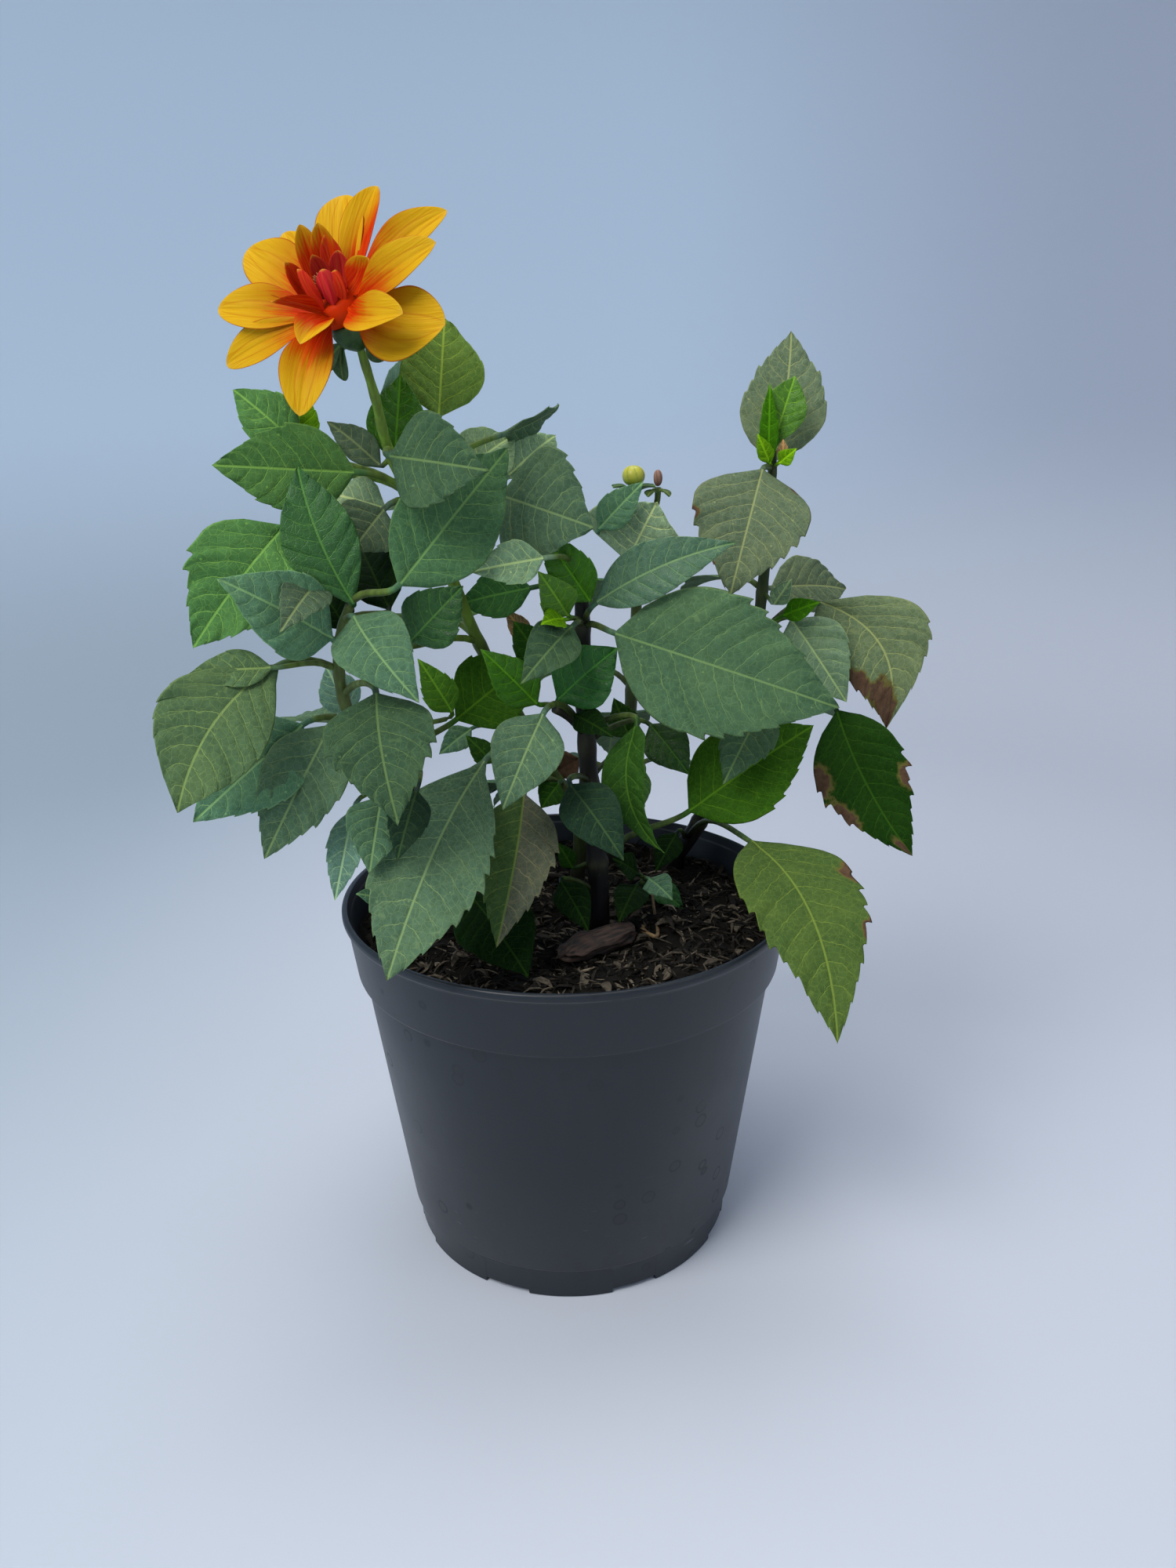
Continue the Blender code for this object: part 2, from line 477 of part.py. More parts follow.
def make_soil():
    """The mix fills the pot, with a rough top and a plain hole for each stem."""
    earth = new_material("potting_mix", (0.075, 0.045, 0.028), 0.95)
    high = SHOULDER_Z + 2.5 * MM
    low = SHOULDER_Z - 2.0 * MM
    bottom = FOOT_RING + FLOOR_Z + FIT_GAP
    top_r = inner_r(SOIL_Z) - SIDE_GAP
    rings = [(top_r * ((k + 1) / SOIL_RINGS) ** 0.8, None) for k in range(SOIL_RINGS)]
    rings += [(inner_r(high) - SIDE_GAP, high),
              (inner_r(low) - SIDE_GAP, low),
              (inner_r(FOOT_LINE_Z) - SIDE_GAP, FOOT_LINE_Z),
              (FOOT_R - 3.0 * MM - SIDE_GAP, bottom)]
    points = [(0.0, 0.0, soil_height(0.0, 0.0))]
    faces = []
    for radius, z in rings:
        for k in range(SOIL_SIDES):
            turn = 2.0 * math.pi * k / SOIL_SIDES
            x, y = radius * math.cos(turn), radius * math.sin(turn)
            points.append((x, y, soil_height(x, y) if z is None else z))
    for k in range(SOIL_SIDES):
        j = (k + 1) % SOIL_SIDES
        faces.append((0, 1 + k, 1 + j))
        for ring in range(len(rings) - 1):
            near = 1 + ring * SOIL_SIDES
            far = near + SOIL_SIDES
            faces.append((near + k, far + k, far + j, near + j))
    last = 1 + (len(rings) - 1) * SOIL_SIDES
    faces.append([last + k for k in range(SOIL_SIDES)][::-1])
    soil = new_object("soil", points, faces, earth)
    cutters = []
    for stem in STEMS.values():
        radius = stem.r_foot * MM + HOLE_ROOM
        bottom = SOIL_Z - HOLE_DEPTH - 2.0 * MM
        top = SOIL_Z + 8.0 * MM
        hole = turned([(0.0, bottom), (radius, bottom), (radius, top), (0.0, top)], 8, "hole", earth)
        hole.data.transform(Matrix.Translation(Vector((*stem.foot, 0.0)) * MM))
        cutters.append(hole)
    combine(soil, cutters, "DIFFERENCE", "EXACT")
    return soil


def make_bark():
    """The loose chunk of bark: a squashed, rough, many-sided block lying on the mix."""
    bark = new_material("bark", (0.16, 0.085, 0.05), 0.9)
    bpy.ops.mesh.primitive_ico_sphere_add(subdivisions=2, radius=1.0)
    made = bpy.context.object
    made.name = "bark_chunk"
    made.data.name = "bark_chunk"
    made.data.materials.append(bark)
    middle = seen_on_soil(*BARK_PX) + Vector((0.0, 0.0, BARK_SIZE.z + SOIL_ROUGH))
    turn = Matrix.Rotation(math.radians(BARK_TURN_DEG), 3, "Z")
    for vert in made.data.vertices:
        p = vert.co.normalized()
        rough = 1.0 + 0.22 * noise.noise(p * 2.3 + Vector((3.0, 0.0, 0.0)))
        squashed = Vector((p.x * BARK_SIZE.x, p.y * BARK_SIZE.y, p.z * BARK_SIZE.z))
        vert.co = middle + turn @ squashed * rough
    return made


def smooth_path(path, steps):
    """Points on a smooth curve through path, steps to each stretch."""
    points = []
    for i in range(len(path) - 1):
        before = path[max(i - 1, 0)]
        after = path[min(i + 2, len(path) - 1)]
        for k in range(steps):
            t = k / steps
            a = 2 * path[i]
            b = path[i + 1] - before
            c = 2 * before - 5 * path[i] + 4 * path[i + 1] - after
            d = -before + 3 * path[i] - 3 * path[i + 1] + after
            points.append(0.5 * (a + b * t + c * t * t + d * t ** 3))
    points.append(path[-1])
    return points


def stem_path(stem):
    """A stem's middle line: straight in the mix, then curved."""
    foot = Vector((*stem.foot, 0.0)) * MM
    low = foot + Vector((0.0, 0.0, SOIL_Z - HOLE_DEPTH))
    high = foot + Vector((0.0, 0.0, SOIL_Z + STRAIGHT_FOOT))
    return [low] + smooth_path([high] + [seen_at(*place) for place in stem.way], STEM_STEPS)


def make_tube(name, path, r_start, r_end, material):
    """A closed round tube along a path, from one radius to the other."""
    points = []
    faces = []
    for i, centre in enumerate(path):
        along = (path[min(i + 1, len(path) - 1)] - path[max(i - 1, 0)]).normalized()
        across = Vector((0.0, 1.0, 0.0)).cross(along).normalized()
        other = along.cross(across)
        radius = r_start + (r_end - r_start) * i / (len(path) - 1)
        for k in range(STEM_SIDES):
            turn = 2.0 * math.pi * k / STEM_SIDES
            points.append(centre + (across * math.cos(turn) + other * math.sin(turn)) * radius)
    for i in range(len(path) - 1):
        low = i * STEM_SIDES
        high = low + STEM_SIDES
        for k in range(STEM_SIDES):
            j = (k + 1) % STEM_SIDES
            faces.append((low + k, low + j, high + j, high + k))
    top = (len(path) - 1) * STEM_SIDES
    faces.append([k for k in range(STEM_SIDES)][::-1])
    faces.append([top + k for k in range(STEM_SIDES)])
    return new_object(name, points, faces, material)


def leaf_half_width(s, full):
    """A leaf's half width along its midrib, as a share of its widest: round at the
    base, widest at the share full of its length, and pointed."""
    return math.sin(math.pi * min(max(s, 0.0), 1.0) ** (math.log(0.5) / math.log(full)))


def leaf_outline(teeth):
    """One edge of a leaf as (share along, share of the half width), base to tip."""
    edge = [(0.075, 0.97)]
    first, last = 0.2, 0.93
    for k in range(teeth):
        s = first + (last - first) * k / (teeth - 1)
        edge.append((s, 1.06))
        if k < teeth - 1:
            edge.append((s + 0.025, 0.9))
    return edge


def petal_half_width(s):
    """A petal's half width: narrow at the base, widest past the middle, round-ended."""
    return math.sin(math.pi * min(max(s, 0.0), 1.0) ** 1.35) ** 0.64


PETAL_OUTLINE = [(0.2, 1.0), (0.5, 1.0), (0.78, 1.0), (0.95, 1.0)]

# A blade: where it starts and ends, its width, the way its upper face looks, its turn
# about its own midrib, its bends up and to the side, and how steeply its sides rise
Blade = namedtuple("Blade", "start tip width look roll arch bow fold")


def blade_axes(blade):
    """A blade's length and its directions along, across and out of its upper face."""
    reach = blade.tip - blade.start
    along = reach.normalized()
    out = (blade.look - along * blade.look.dot(along)).normalized()
    turn = math.radians(blade.roll)
    out = out * math.cos(turn) + along.cross(out) * math.sin(turn)
    return reach.length, along, along.cross(out), out


def stalk_rows(root, start, lead, across, root_r, end_r, count):
    """Rows of four corners along a stalk that leaves its stem, rises and runs into its
    blade along lead."""
    reach = start - root
    pull = root + reach * 0.3 + Vector((0.0, 0.0, 0.22 * reach.length))
    push = start - lead * (0.3 * reach.length)
    rows = []
    for k in range(count + 1):
        t = k / count
        centre = (root * (1 - t) ** 3 + pull * (3 * t * (1 - t) ** 2)
                  + push * (3 * t * t * (1 - t)) + start * t ** 3)
        way = ((pull - root) * (3 * (1 - t) ** 2) + (push - pull) * (6 * t * (1 - t))
               + (start - push) * (3 * t * t)).normalized()
        side = (across - way * across.dot(way)).normalized()
        top = side.cross(way)
        high = root_r * (1 - t) + end_r * t
        corners = ((-1, 1), (1, 1), (1, -1), (-1, -1))
        rows.append([centre + side * (a * root_r) + top * (b * high) for a, b in corners])
    return rows


def blade_mesh(blade, edge, half_width, ribs, root, root_r, thick):
    """A closed blade on its stalk. Its upper and lower face are split alike, between
    each edge's points and the midrib's, and a rim closes them."""
    length, along, across, out = blade_axes(blade)
    half = blade.width / 2
    tilt = math.radians(blade.fold)

    def surface(s, side, sign):
        wide = half * half_width(s) * side
        bend = length * 4.0 * s * (1.0 - s)
        place = blade.start + along * (length * s) + (out * blade.arch + across * blade.bow) * bend
        place += across * (wide * math.cos(tilt)) + out * (abs(wide) * math.sin(tilt))
        return place + out * (sign * thick / 2)

    lead = (along + out * (4.0 * blade.arch) + across * (4.0 * blade.bow)).normalized()
    reach = (blade.start - root).length
    count = 3 if reach > 24.0 * MM else 2 if reach > 5.0 * MM else 1
    points = []
    for row in stalk_rows(root, blade.start, lead, across, root_r, thick / 2, count):
        points += row
    faces = [(3, 2, 1, 0)]
    for low in range(0, 4 * count, 4):
        for k in range(4):
            j = (k + 1) % 4
            faces.append((low + k, low + j, low + 4 + j, low + 4 + k))
    last = 4 * count

    # Both faces: the edge and midrib points, each run ending at the tip
    edge_stops = [0.0] + [s for s, share in edge] + [1.0]
    rib_stops = list(ribs) + [1.0]
    rims = {}
    for sign, left, right in ((1, last, last + 1), (-1, last + 3, last + 2)):
        middle = [len(points) + k for k in range(len(rib_stops))]
        points += [surface(s, 0.0, sign) for s in rib_stops]
        faces.append((left, right, middle[0])[::sign])
        for side, corner in ((-1, left), (1, right)):
            run = [corner] + [len(points) + k for k in range(len(edge))] + [middle[-1]]
            points += [surface(s, side * share, sign) for s, share in edge]
            rims[side, sign] = run
            i = j = 0
            while i < len(edge) + 1 or j < len(ribs):
                edge_is_next = j == len(ribs) or (i <= len(edge) and edge_stops[i + 1] <= rib_stops[j + 1])
                if edge_is_next:
                    corners = (run[i], middle[j], run[i + 1])
                    i += 1
                else:
                    corners = (run[i], middle[j], middle[j + 1])
                    j += 1
                if len(set(corners)) == 3:
                    faces.append(corners[::-side * sign])
    for side in (-1, 1):
        upper, under = rims[side, 1], rims[side, -1]
        for i in range(len(upper) - 1):
            faces.append((upper[i], upper[i + 1], under[i + 1], under[i])[::-side])
    return points, faces


def nearest_on(path, place, rise):
    """The point of a stem's path that a stalk to place leaves from: about as far below
    it as rise times its distance out."""

    def miss(point):
        flat = math.hypot(place.x - point.x, place.y - point.y)
        return abs(place.z - point.z - rise * flat) + 0.15 * flat

    return min(path, key=miss)


def make_leaf(name, blade, teeth, full, root, material):
    ribs = (0.14, 0.4, 0.7) if teeth > 3 else (0.15, 0.55)
    points, faces = blade_mesh(blade, leaf_outline(teeth), lambda s: leaf_half_width(s, full),
                               ribs, root, PETIOLE_R, BLADE_THICK)
    return new_object(name, points, faces, material)


def seen_leaf(leaf, path, material):
    """A leaf of the photograph, on the stalk that reaches it from its stem."""
    start = seen_at(*leaf.start)
    tip = seen_at(*leaf.tip)
    to_eye = (EYE - (start + tip) / 2).normalized()
    look = to_eye * leaf.face + Vector((0.0, 0.0, 1.0 - leaf.face))
    blade = Blade(start, tip, leaf.width * MM, look, leaf.roll, leaf.arch, leaf.bow, leaf.fold)
    root = nearest_on(path, start, 0.35)
    return make_leaf(leaf.name, blade, leaf.teeth, leaf.full, root, material)


def leaf_behind(leaf, path, material):
    """A leaf at the back: a stalk that rises out of its joint and a blade that hangs."""
    joint = min(path, key=lambda point: abs(point.z - leaf.z_mm * MM))
    turn = math.radians(leaf.turn)
    hang = math.radians(leaf.hang)
    out = Vector((math.cos(turn), math.sin(turn), 0.0))
    up = Vector((0.0, 0.0, 1.0))
    start = joint + (out + up * 0.4) * (leaf.stalk * MM)
    tip = start + (out * math.cos(hang) - up * math.sin(hang)) * (leaf.length * MM)
    blade = Blade(start, tip, leaf.width * MM, up, 0.0, 0.1, 0.0, 8.0)
    return make_leaf(leaf.name, blade, 3, BACK_LEAF_FULL, joint, material)


def make_leafy_stem(name, more=()):
    """A stem with its side shoots, its leaves and more, joined into one body."""
    green = new_material(name + "_green", (0.045, 0.12, 0.035), 0.5)
    stem = STEMS[name]
    path = stem_path(stem)
    tube = make_tube(name, path, stem.r_foot * MM, stem.r_top * MM, green)
    joints = path[1:]
    parts = []
    for shoot in SHOOTS:
        if shoot.stem == name:
            way = smooth_path([seen_at(*place) for place in shoot.way], 2)
            parts.append(make_tube(name + "_shoot", way, shoot.r_start * MM, shoot.r_end * MM, green))
            joints = joints + way
    parts += [seen_leaf(leaf, joints, green) for leaf in LEAVES if leaf.stem == name]
    parts += [leaf_behind(leaf, path[1:], green) for leaf in LEAVES_BEHIND if leaf.stem == name]
    parts += [make(green) for make in more]
    combine(tube, parts, "UNION", "MANIFOLD")
    return tube


def bloom_point(high, radial=Vector((0.0, 0.0, 0.0))):
    """The point that stands high above the receptacle along the bloom's axis."""
    return seen_at(*BLOOM_PX) + BLOOM_AXIS * high + radial


def seen_at_height(pixel, high):
    """The point seen at a pixel that stands high above the receptacle."""
    line = sight_line(*pixel)
    reach = (bloom_point(high) - EYE).dot(BLOOM_AXIS) / line.dot(BLOOM_AXIS)
    return EYE + line * reach


def from_axis(place):
    """How far and which way a place stands out from the bloom's axis."""
    reach = place - bloom_point(0.0)
    return reach - BLOOM_AXIS * reach.dot(BLOOM_AXIS)


def on_bloom(profile_mm, name, material):
    """A turned solid about the bloom's axis."""
    profile = [(radius * MM, high * MM) for radius, high in profile_mm]
    made = turned(profile, CORE_SIDES, name, material)
    turn = Vector((0.0, 0.0, 1.0)).rotation_difference(BLOOM_AXIS).to_matrix().to_4x4()
    made.data.transform(Matrix.Translation(bloom_point(0.0)) @ turn)
    return made


def make_petal(petal, material):
    """A petal on its narrow claw. Its upper face looks up and in to the bloom's axis,
    and an outer one's also to the viewer."""
    tip = seen_at_height(petal.tip, petal.high * MM)
    spread = from_axis(tip)
    far = min(spread.length / (25.0 * MM), 1.0)
    base = bloom_point((13.5 - 3.5 * far) * MM, spread.normalized() * ((5.0 + 2.0 * far) * MM))
    to_eye = (EYE - tip).normalized()
    look = BLOOM_AXIS * 0.5 - spread.normalized() * 0.3 + to_eye * 0.7
    if petal.base:
        near = from_axis(EYE).normalized()
        aside = BLOOM_AXIS.cross(near)
        base = bloom_point(12.5 * MM, (near * petal.base[0] + aside * petal.base[1]) * MM)
        look = BLOOM_AXIS * 0.5 - from_axis(base).normalized() * 0.6
        if petal.base[0] < 3.0:
            look += to_eye
    blade = Blade(base, tip, petal.width * MM, look, 0.0, petal.arch, petal.bow, petal.fold)
    claw = base - from_axis(base).normalized() * (2.0 * MM) - BLOOM_AXIS * (1.5 * MM)
    points, faces = blade_mesh(blade, PETAL_OUTLINE, petal_half_width, (0.3, 0.7), claw,
                               PETAL_CLAW_R, PETAL_THICK)
    return new_object(petal.name, points, faces, material)


def make_bloom():
    """The ray petals on their core, and the disc of florets above it."""
    yellow = new_material("petal_yellow", (0.85, 0.42, 0.02), 0.45)
    red = new_material("floret_red", (0.3, 0.03, 0.03), 0.6)
    petals = on_bloom(CORE_PROFILE, "bloom_petals", yellow)
    combine(petals, [make_petal(petal, yellow) for petal in PETALS], "UNION", "MANIFOLD")
    on_bloom(DISC_PROFILE, "bloom_disc", red)


def make_cup(material):
    return on_bloom(CUP_PROFILE, "cup", material)


def make_bract(tip, material):
    """A bract that grows out of the cup's side and hangs back."""
    way = from_axis(tip).normalized()
    start = bloom_point(0.0, way * (5.8 * MM))
    look = (EYE - tip).normalized() + way * 0.4 + BLOOM_AXIS * 0.4
    blade = Blade(start, tip, BRACT_WIDTH, look, 0.0, 0.08, 0.0, 10.0)
    points, faces = blade_mesh(blade, PETAL_OUTLINE[::2], petal_half_width, (0.5,),
                               bloom_point(1.0 * MM, way * (2.5 * MM)), PETIOLE_R, BLADE_THICK)
    return new_object("bract", points, faces, material)


def bloom_bracts():
    """The makers of the cup and of each bract under the bloom."""
    tips = [seen_at_height(pixel, high * MM) for pixel, high in BRACTS_SEEN]
    near = from_axis(EYE).normalized()
    side = BLOOM_AXIS.cross(near)
    for degrees in BRACTS_UNSEEN:
        turn = math.radians(degrees)
        way = near * math.cos(turn) + side * math.sin(turn)
        tips.append(bloom_point(-6.0 * MM, way * BRACT_REACH))
    return [make_cup] + [lambda green, tip=tip: make_bract(tip, green) for tip in tips]


def bud_bracts(bud, end):
    """The makers of the bracts that spread under a bud from its stem's end."""

    def bract_maker(turn):
        out = Vector((math.cos(turn), math.sin(turn), 0.0))
        start = end + out * (2.2 * MM) - Vector((0.0, 0.0, 1.0 * MM))
        tip = end + out * (bud.reach * MM) + Vector((0.0, 0.0, bud.rise * MM))
        blade = Blade(start, tip, 4.5 * MM, Vector((0.0, 0.0, 1.0)), 0.0, 0.1, 0.0, 8.0)
        root = end - Vector((0.0, 0.0, 2.2 * MM))

        def make(green):
            points, faces = blade_mesh(blade, PETAL_OUTLINE[::2], petal_half_width, (0.5,), root,
                                       0.8 * MM, BLADE_THICK)
            return new_object("bud_bract", points, faces, green)

        return make

    return [bract_maker(2.0 * math.pi * (k + 0.5) / bud.bracts) for k in range(bud.bracts)]


def make_bud(bud, end):
    """A closed bud that sits on the end of its stem."""
    colour = new_material(bud.name, bud.colour, 0.5)
    profile = []
    for k in range(7):
        turn = math.pi * k / 6
        profile.append((bud.radius * MM * abs(math.sin(turn)) if 0 < k < 6 else 0.0,
                        bud.half_high * MM * (1.0 - math.cos(turn))))
    made = turned(profile, 10, bud.name, colour)
    made.data.transform(Matrix.Translation(end + Vector((0.0, 0.0, FIT_GAP + 0.3 * MM))))


def main():
    for old in list(bpy.data.objects):
        bpy.data.objects.remove(old)
    make_pot()
    make_soil()
    make_bark()
    yellow_end = seen_at(*STEMS["stem_back"].way[-1])
    spent_end = seen_at(*[shoot for shoot in SHOOTS if shoot.stem == "stem_back"][0].way[-1])
    extras = {
        "stem_bloom": bloom_bracts(),
        "stem_back": bud_bracts(BUD_YELLOW, yellow_end) + bud_bracts(BUD_SPENT, spent_end),
    }
    for name in STEMS:
        make_leafy_stem(name, extras.get(name, []))
    make_bloom()
    make_bud(BUD_YELLOW, yellow_end)
    make_bud(BUD_SPENT, spent_end)


if __name__ == "__main__":
    main()
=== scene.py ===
"""A potted dahlia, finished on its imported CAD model: a dark plastic nursery pot of
potting mix, five leafy stems and a low shoot, an open bloom and two buds. Metres, +Z up.
The origin is the middle of the pot's foot and +X is the right of the photograph."""

import math
from collections import namedtuple

import bmesh
import bpy
import numpy as np
from mathutils import Matrix


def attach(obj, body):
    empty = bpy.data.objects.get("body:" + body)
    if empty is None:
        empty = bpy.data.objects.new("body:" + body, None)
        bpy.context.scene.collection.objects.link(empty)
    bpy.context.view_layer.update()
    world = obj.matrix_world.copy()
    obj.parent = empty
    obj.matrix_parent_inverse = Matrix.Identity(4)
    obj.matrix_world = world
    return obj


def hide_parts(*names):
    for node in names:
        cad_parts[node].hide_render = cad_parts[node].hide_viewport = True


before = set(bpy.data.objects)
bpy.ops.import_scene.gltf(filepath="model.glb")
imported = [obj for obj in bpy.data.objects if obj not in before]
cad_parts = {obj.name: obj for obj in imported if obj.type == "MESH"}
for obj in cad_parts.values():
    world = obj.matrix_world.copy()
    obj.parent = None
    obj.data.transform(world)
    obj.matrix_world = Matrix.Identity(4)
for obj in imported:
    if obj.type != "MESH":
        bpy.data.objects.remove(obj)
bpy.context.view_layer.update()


# Viewpoint
# The camera stands at the bloom's height, half a metre in front of the pot's middle, and
# looks down through a short lens. The plant's parts are placed along its lines of sight.

MM = 0.001
EYE = np.array((-0.66, -464.5, 355.4)) * MM
EYE_YAW = 0.022
EYE_PITCH = 0.322
EYE_ROLL = -0.013
LENS_PX = 1500.0
FRAME_PX = (1500.0, 2000.0)
SENSOR_MM = 36.0
FORWARD = np.array((math.sin(EYE_YAW) * math.cos(EYE_PITCH),
                    math.cos(EYE_YAW) * math.cos(EYE_PITCH),
                    -math.sin(EYE_PITCH)))
LEVEL = np.array((math.cos(EYE_YAW), -math.sin(EYE_YAW), 0.0))
ABOVE = np.cross(LEVEL, FORWARD)
RIGHT = math.cos(EYE_ROLL) * LEVEL + math.sin(EYE_ROLL) * ABOVE
UP = -math.sin(EYE_ROLL) * LEVEL + math.cos(EYE_ROLL) * ABOVE
Z = np.array((0.0, 0.0, 1.0))


def sight_line(u, v):
    """The direction from the eye through pixel (u, v)."""
    across = (u - FRAME_PX[0] / 2) / LENS_PX
    down = (v - FRAME_PX[1] / 2) / LENS_PX
    return across * RIGHT - down * UP + FORWARD


def seen_at(u, v, depth_mm):
    """The point seen at pixel (u, v) that stands depth_mm behind the pot's middle."""
    line = sight_line(u, v)
    return EYE + line * ((depth_mm * MM - EYE[1]) / line[1])


def seen_at_level(u, v, z):
    """The point seen at pixel (u, v) at height z."""
    line = sight_line(u, v)
    return EYE + line * ((z - EYE[2]) / line[2])


def new_object(name, data):
    made = bpy.data.objects.new(name, data)
    bpy.context.scene.collection.objects.link(made)
    return made


def standing(side, top, back, place):
    """The matrix of an object at place whose own X, Y and Z axes are side, top and back."""
    return Matrix([[side[k], top[k], back[k], place[k]] for k in range(3)] + [[0.0, 0.0, 0.0, 1.0]])


lens = bpy.data.cameras.new("camera")
lens.sensor_fit = "VERTICAL"
lens.sensor_height = SENSOR_MM
lens.lens = SENSOR_MM * LENS_PX / FRAME_PX[1]
lens.clip_start = 0.01
camera = new_object("camera", lens)
camera.matrix_world = standing(RIGHT, UP, -FORWARD, EYE)
bpy.context.scene.camera = camera


# Pot
# A thin-walled nursery pot, moulded in one shot of dark plastic. Its collar stands out
# over a tapering body, its foot ring has shallow notches and its floor has drain holes.

RIM_R = 95.0
RIM_TOP = 153.5
SHOULDER_R = 90.1
SHOULDER_Z = 125.6
BODY_TOP_R = 87.2
FOOT_LINE_R = 72.6
FOOT_LINE_Z = 15.0
WALL = 1.8
RIM_LIP = 1.6
POT_FLOOR_Z = 6.2
POT_SIDES = 240
NOTCHES = 8
NOTCH_HALF_DEG = 8.25
NOTCH_HIGH = 2.4
NOTCH_START_DEG = 21.0
NOTCH_FROM_R = 60.0
NOTCH_CORNER_DEG = 0.2
SHARP_DEG = 38.0
DRAIN_HOLES = 6
DRAIN_HOLE_R = 5.0
DRAIN_HOLE_HIGH = 12.0
DRAIN_RING_R = 48.0


def inner_r(z):
    """The pot's inside radius at height z, mm: each wall's outside less its thickness."""
    if z > SHOULDER_Z:
        share = (z - SHOULDER_Z) / (RIM_TOP - SHOULDER_Z)
        return SHOULDER_R + (RIM_R - SHOULDER_R) * share - WALL - RIM_LIP
    share = (z - FOOT_LINE_Z) / (SHOULDER_Z - FOOT_LINE_Z)
    return FOOT_LINE_R + (BODY_TOP_R - FOOT_LINE_R) * share - WALL


POT_PROFILE = [
    (0.0, 0.0), (27.6, 0.0), (28.2, 0.3), (29.8, 2.7), (30.4, 3.0), (62.6, 3.0), (63.2, 2.7),
    (64.6, 0.4), (65.2, 0.0), (69.4, 0.0), (69.9, 0.5), (70.6, 13.7), (70.9, 14.3),
    (72.1, 14.8), (72.6, 15.5), (87.0, 122.6), (87.15, 123.4), (87.3, 124.0), (87.7, 124.5),
    (89.3, 125.2), (89.9, 125.6), (90.2, 126.4), (93.2, 148.4), (93.4, 149.2), (94.2, 150.0),
    (94.8, 150.6), (95.0, 151.2), (95.0, 152.6), (94.85, 153.1), (94.4, 153.45),
    (93.9, 153.5), (93.2, 153.5), (92.8, 153.3), (92.5, 152.6),
    (inner_r(149.5), 149.5), (inner_r(128.0), 128.0), (inner_r(123.6), 123.6),
    (inner_r(15.0), 15.0), (67.6, 7.6), (66.9, 6.6), (65.9, POT_FLOOR_Z), (0.0, POT_FLOOR_Z),
]


def grid_faces(rows, columns, ring):
    """The four-sided faces between a grid's rows and columns of points. In a ring the
    last column meets the first."""
    index = np.arange(rows * columns).reshape(rows, columns)
    if ring:
        index = np.hstack([index, index[:, :1]])
    corners = (index[:-1, :-1], index[:-1, 1:], index[1:, 1:], index[1:, :-1])
    return np.stack(corners, -1).reshape(-1, 4)


def turned(profile, turns):
    """A profile of (radius, z) carried round the Z axis: each ring's point at a turn is
    radius times that turn's cosine and sine."""
    profile = np.array(profile)
    x = profile[:, :1] * np.cos(turns)
    y = profile[:, :1] * np.sin(turns)
    points = np.stack([x, y, np.broadcast_to(profile[:, 1:], x.shape)], -1)
    return points, grid_faces(len(profile), len(turns), True)


def new_piece(name, parts, finishes, smooth_deg=None):
    """One object out of closed surfaces. Each part is its points, its faces, the finish
    of each face and its named values at each point, or one value for all. Points that
    meet are made one, which closes each surface at its ends."""
    starts = np.cumsum([0] + [part["points"].reshape(-1, 3).shape[0] for part in parts])
    points = np.concatenate([part["points"].reshape(-1, 3) for part in parts])
    faces = np.concatenate([part["faces"] + start for part, start in zip(parts, starts)])
    mesh = bpy.data.meshes.new(name)
    mesh.from_pydata(points.tolist(), [], faces.tolist())
    for key in parts[0].get("values", {}):
        layer = mesh.attributes.new(key, "FLOAT_VECTOR", "POINT")
        values = [np.broadcast_to(part["values"][key], part["points"].shape) for part in parts]
        values = np.concatenate([value.reshape(-1, 3) for value in values])
        layer.data.foreach_set("vector", values.astype(np.float32).ravel())
    slots = [np.broadcast_to(part.get("finish", 0), len(part["faces"])) for part in parts]
    slots = np.concatenate(slots)
    mesh.polygons.foreach_set("material_index", slots.astype(np.int32))
    for finish in finishes:
        mesh.materials.append(finish)
    shape = bmesh.new()
    shape.from_mesh(mesh)
    bmesh.ops.remove_doubles(shape, verts=shape.verts, dist=1e-6)
    shape.to_mesh(mesh)
    shape.free()
    mesh.shade_smooth()
    if smooth_deg:
        mesh.set_sharp_from_angle(angle=math.radians(smooth_deg))
    return new_object(name, mesh)


class Value:
    """An output of a finish's nodes. Sums with it are written as they are with numbers."""

    def __init__(self, output):
        self.output = output
        self.tree = output.id_data

    def calc(self, operation, b=0.0, c=0.0):
        return add(self.tree, "Math", {"operation": operation}, i0=self, i1=b, i2=c)

    def __add__(self, other):
        return self.calc("ADD", other)

    def __sub__(self, other):
        return self.calc("SUBTRACT", other)

    def __mul__(self, other):
        return self.calc("MULTIPLY", other)

    def __abs__(self):
        return self.calc("ABSOLUTE")


def give(node, sockets):
    """Sets a node's sockets: each is joined to the value, or set to the number or colour,
    given under its name. Where sockets share a name, i and its number stand for it."""
    for key, value in sockets.items():
        name = key.replace("_", " ")
        socket = node.inputs[int(name[1:])] if name[1:].isdigit() else node.inputs[name]
        if isinstance(value, Value):
            value.tree.links.new(value.output, socket)
        else:
            socket.default_value = value


def add(tree, kind, settings=None, out=0, **sockets):
    """One output of a new node of that kind."""
    made = tree.nodes.new("ShaderNode" + kind)
    for key, value in (settings or {}).items():
        setattr(made, key, value)
    give(made, sockets)
    return Value(made.outputs[out])


def new_finish(name, **sockets):
    """A finish with one surface shader, its even values set on the shader itself."""
    finish = bpy.data.materials.new(name)
    finish.use_nodes = True
    return coat(finish, **sockets)


def coat(finish, **sockets):
    """Gives the finish's surface shader its values."""
    give(finish.node_tree.nodes["Principled BSDF"], sockets)
    return finish


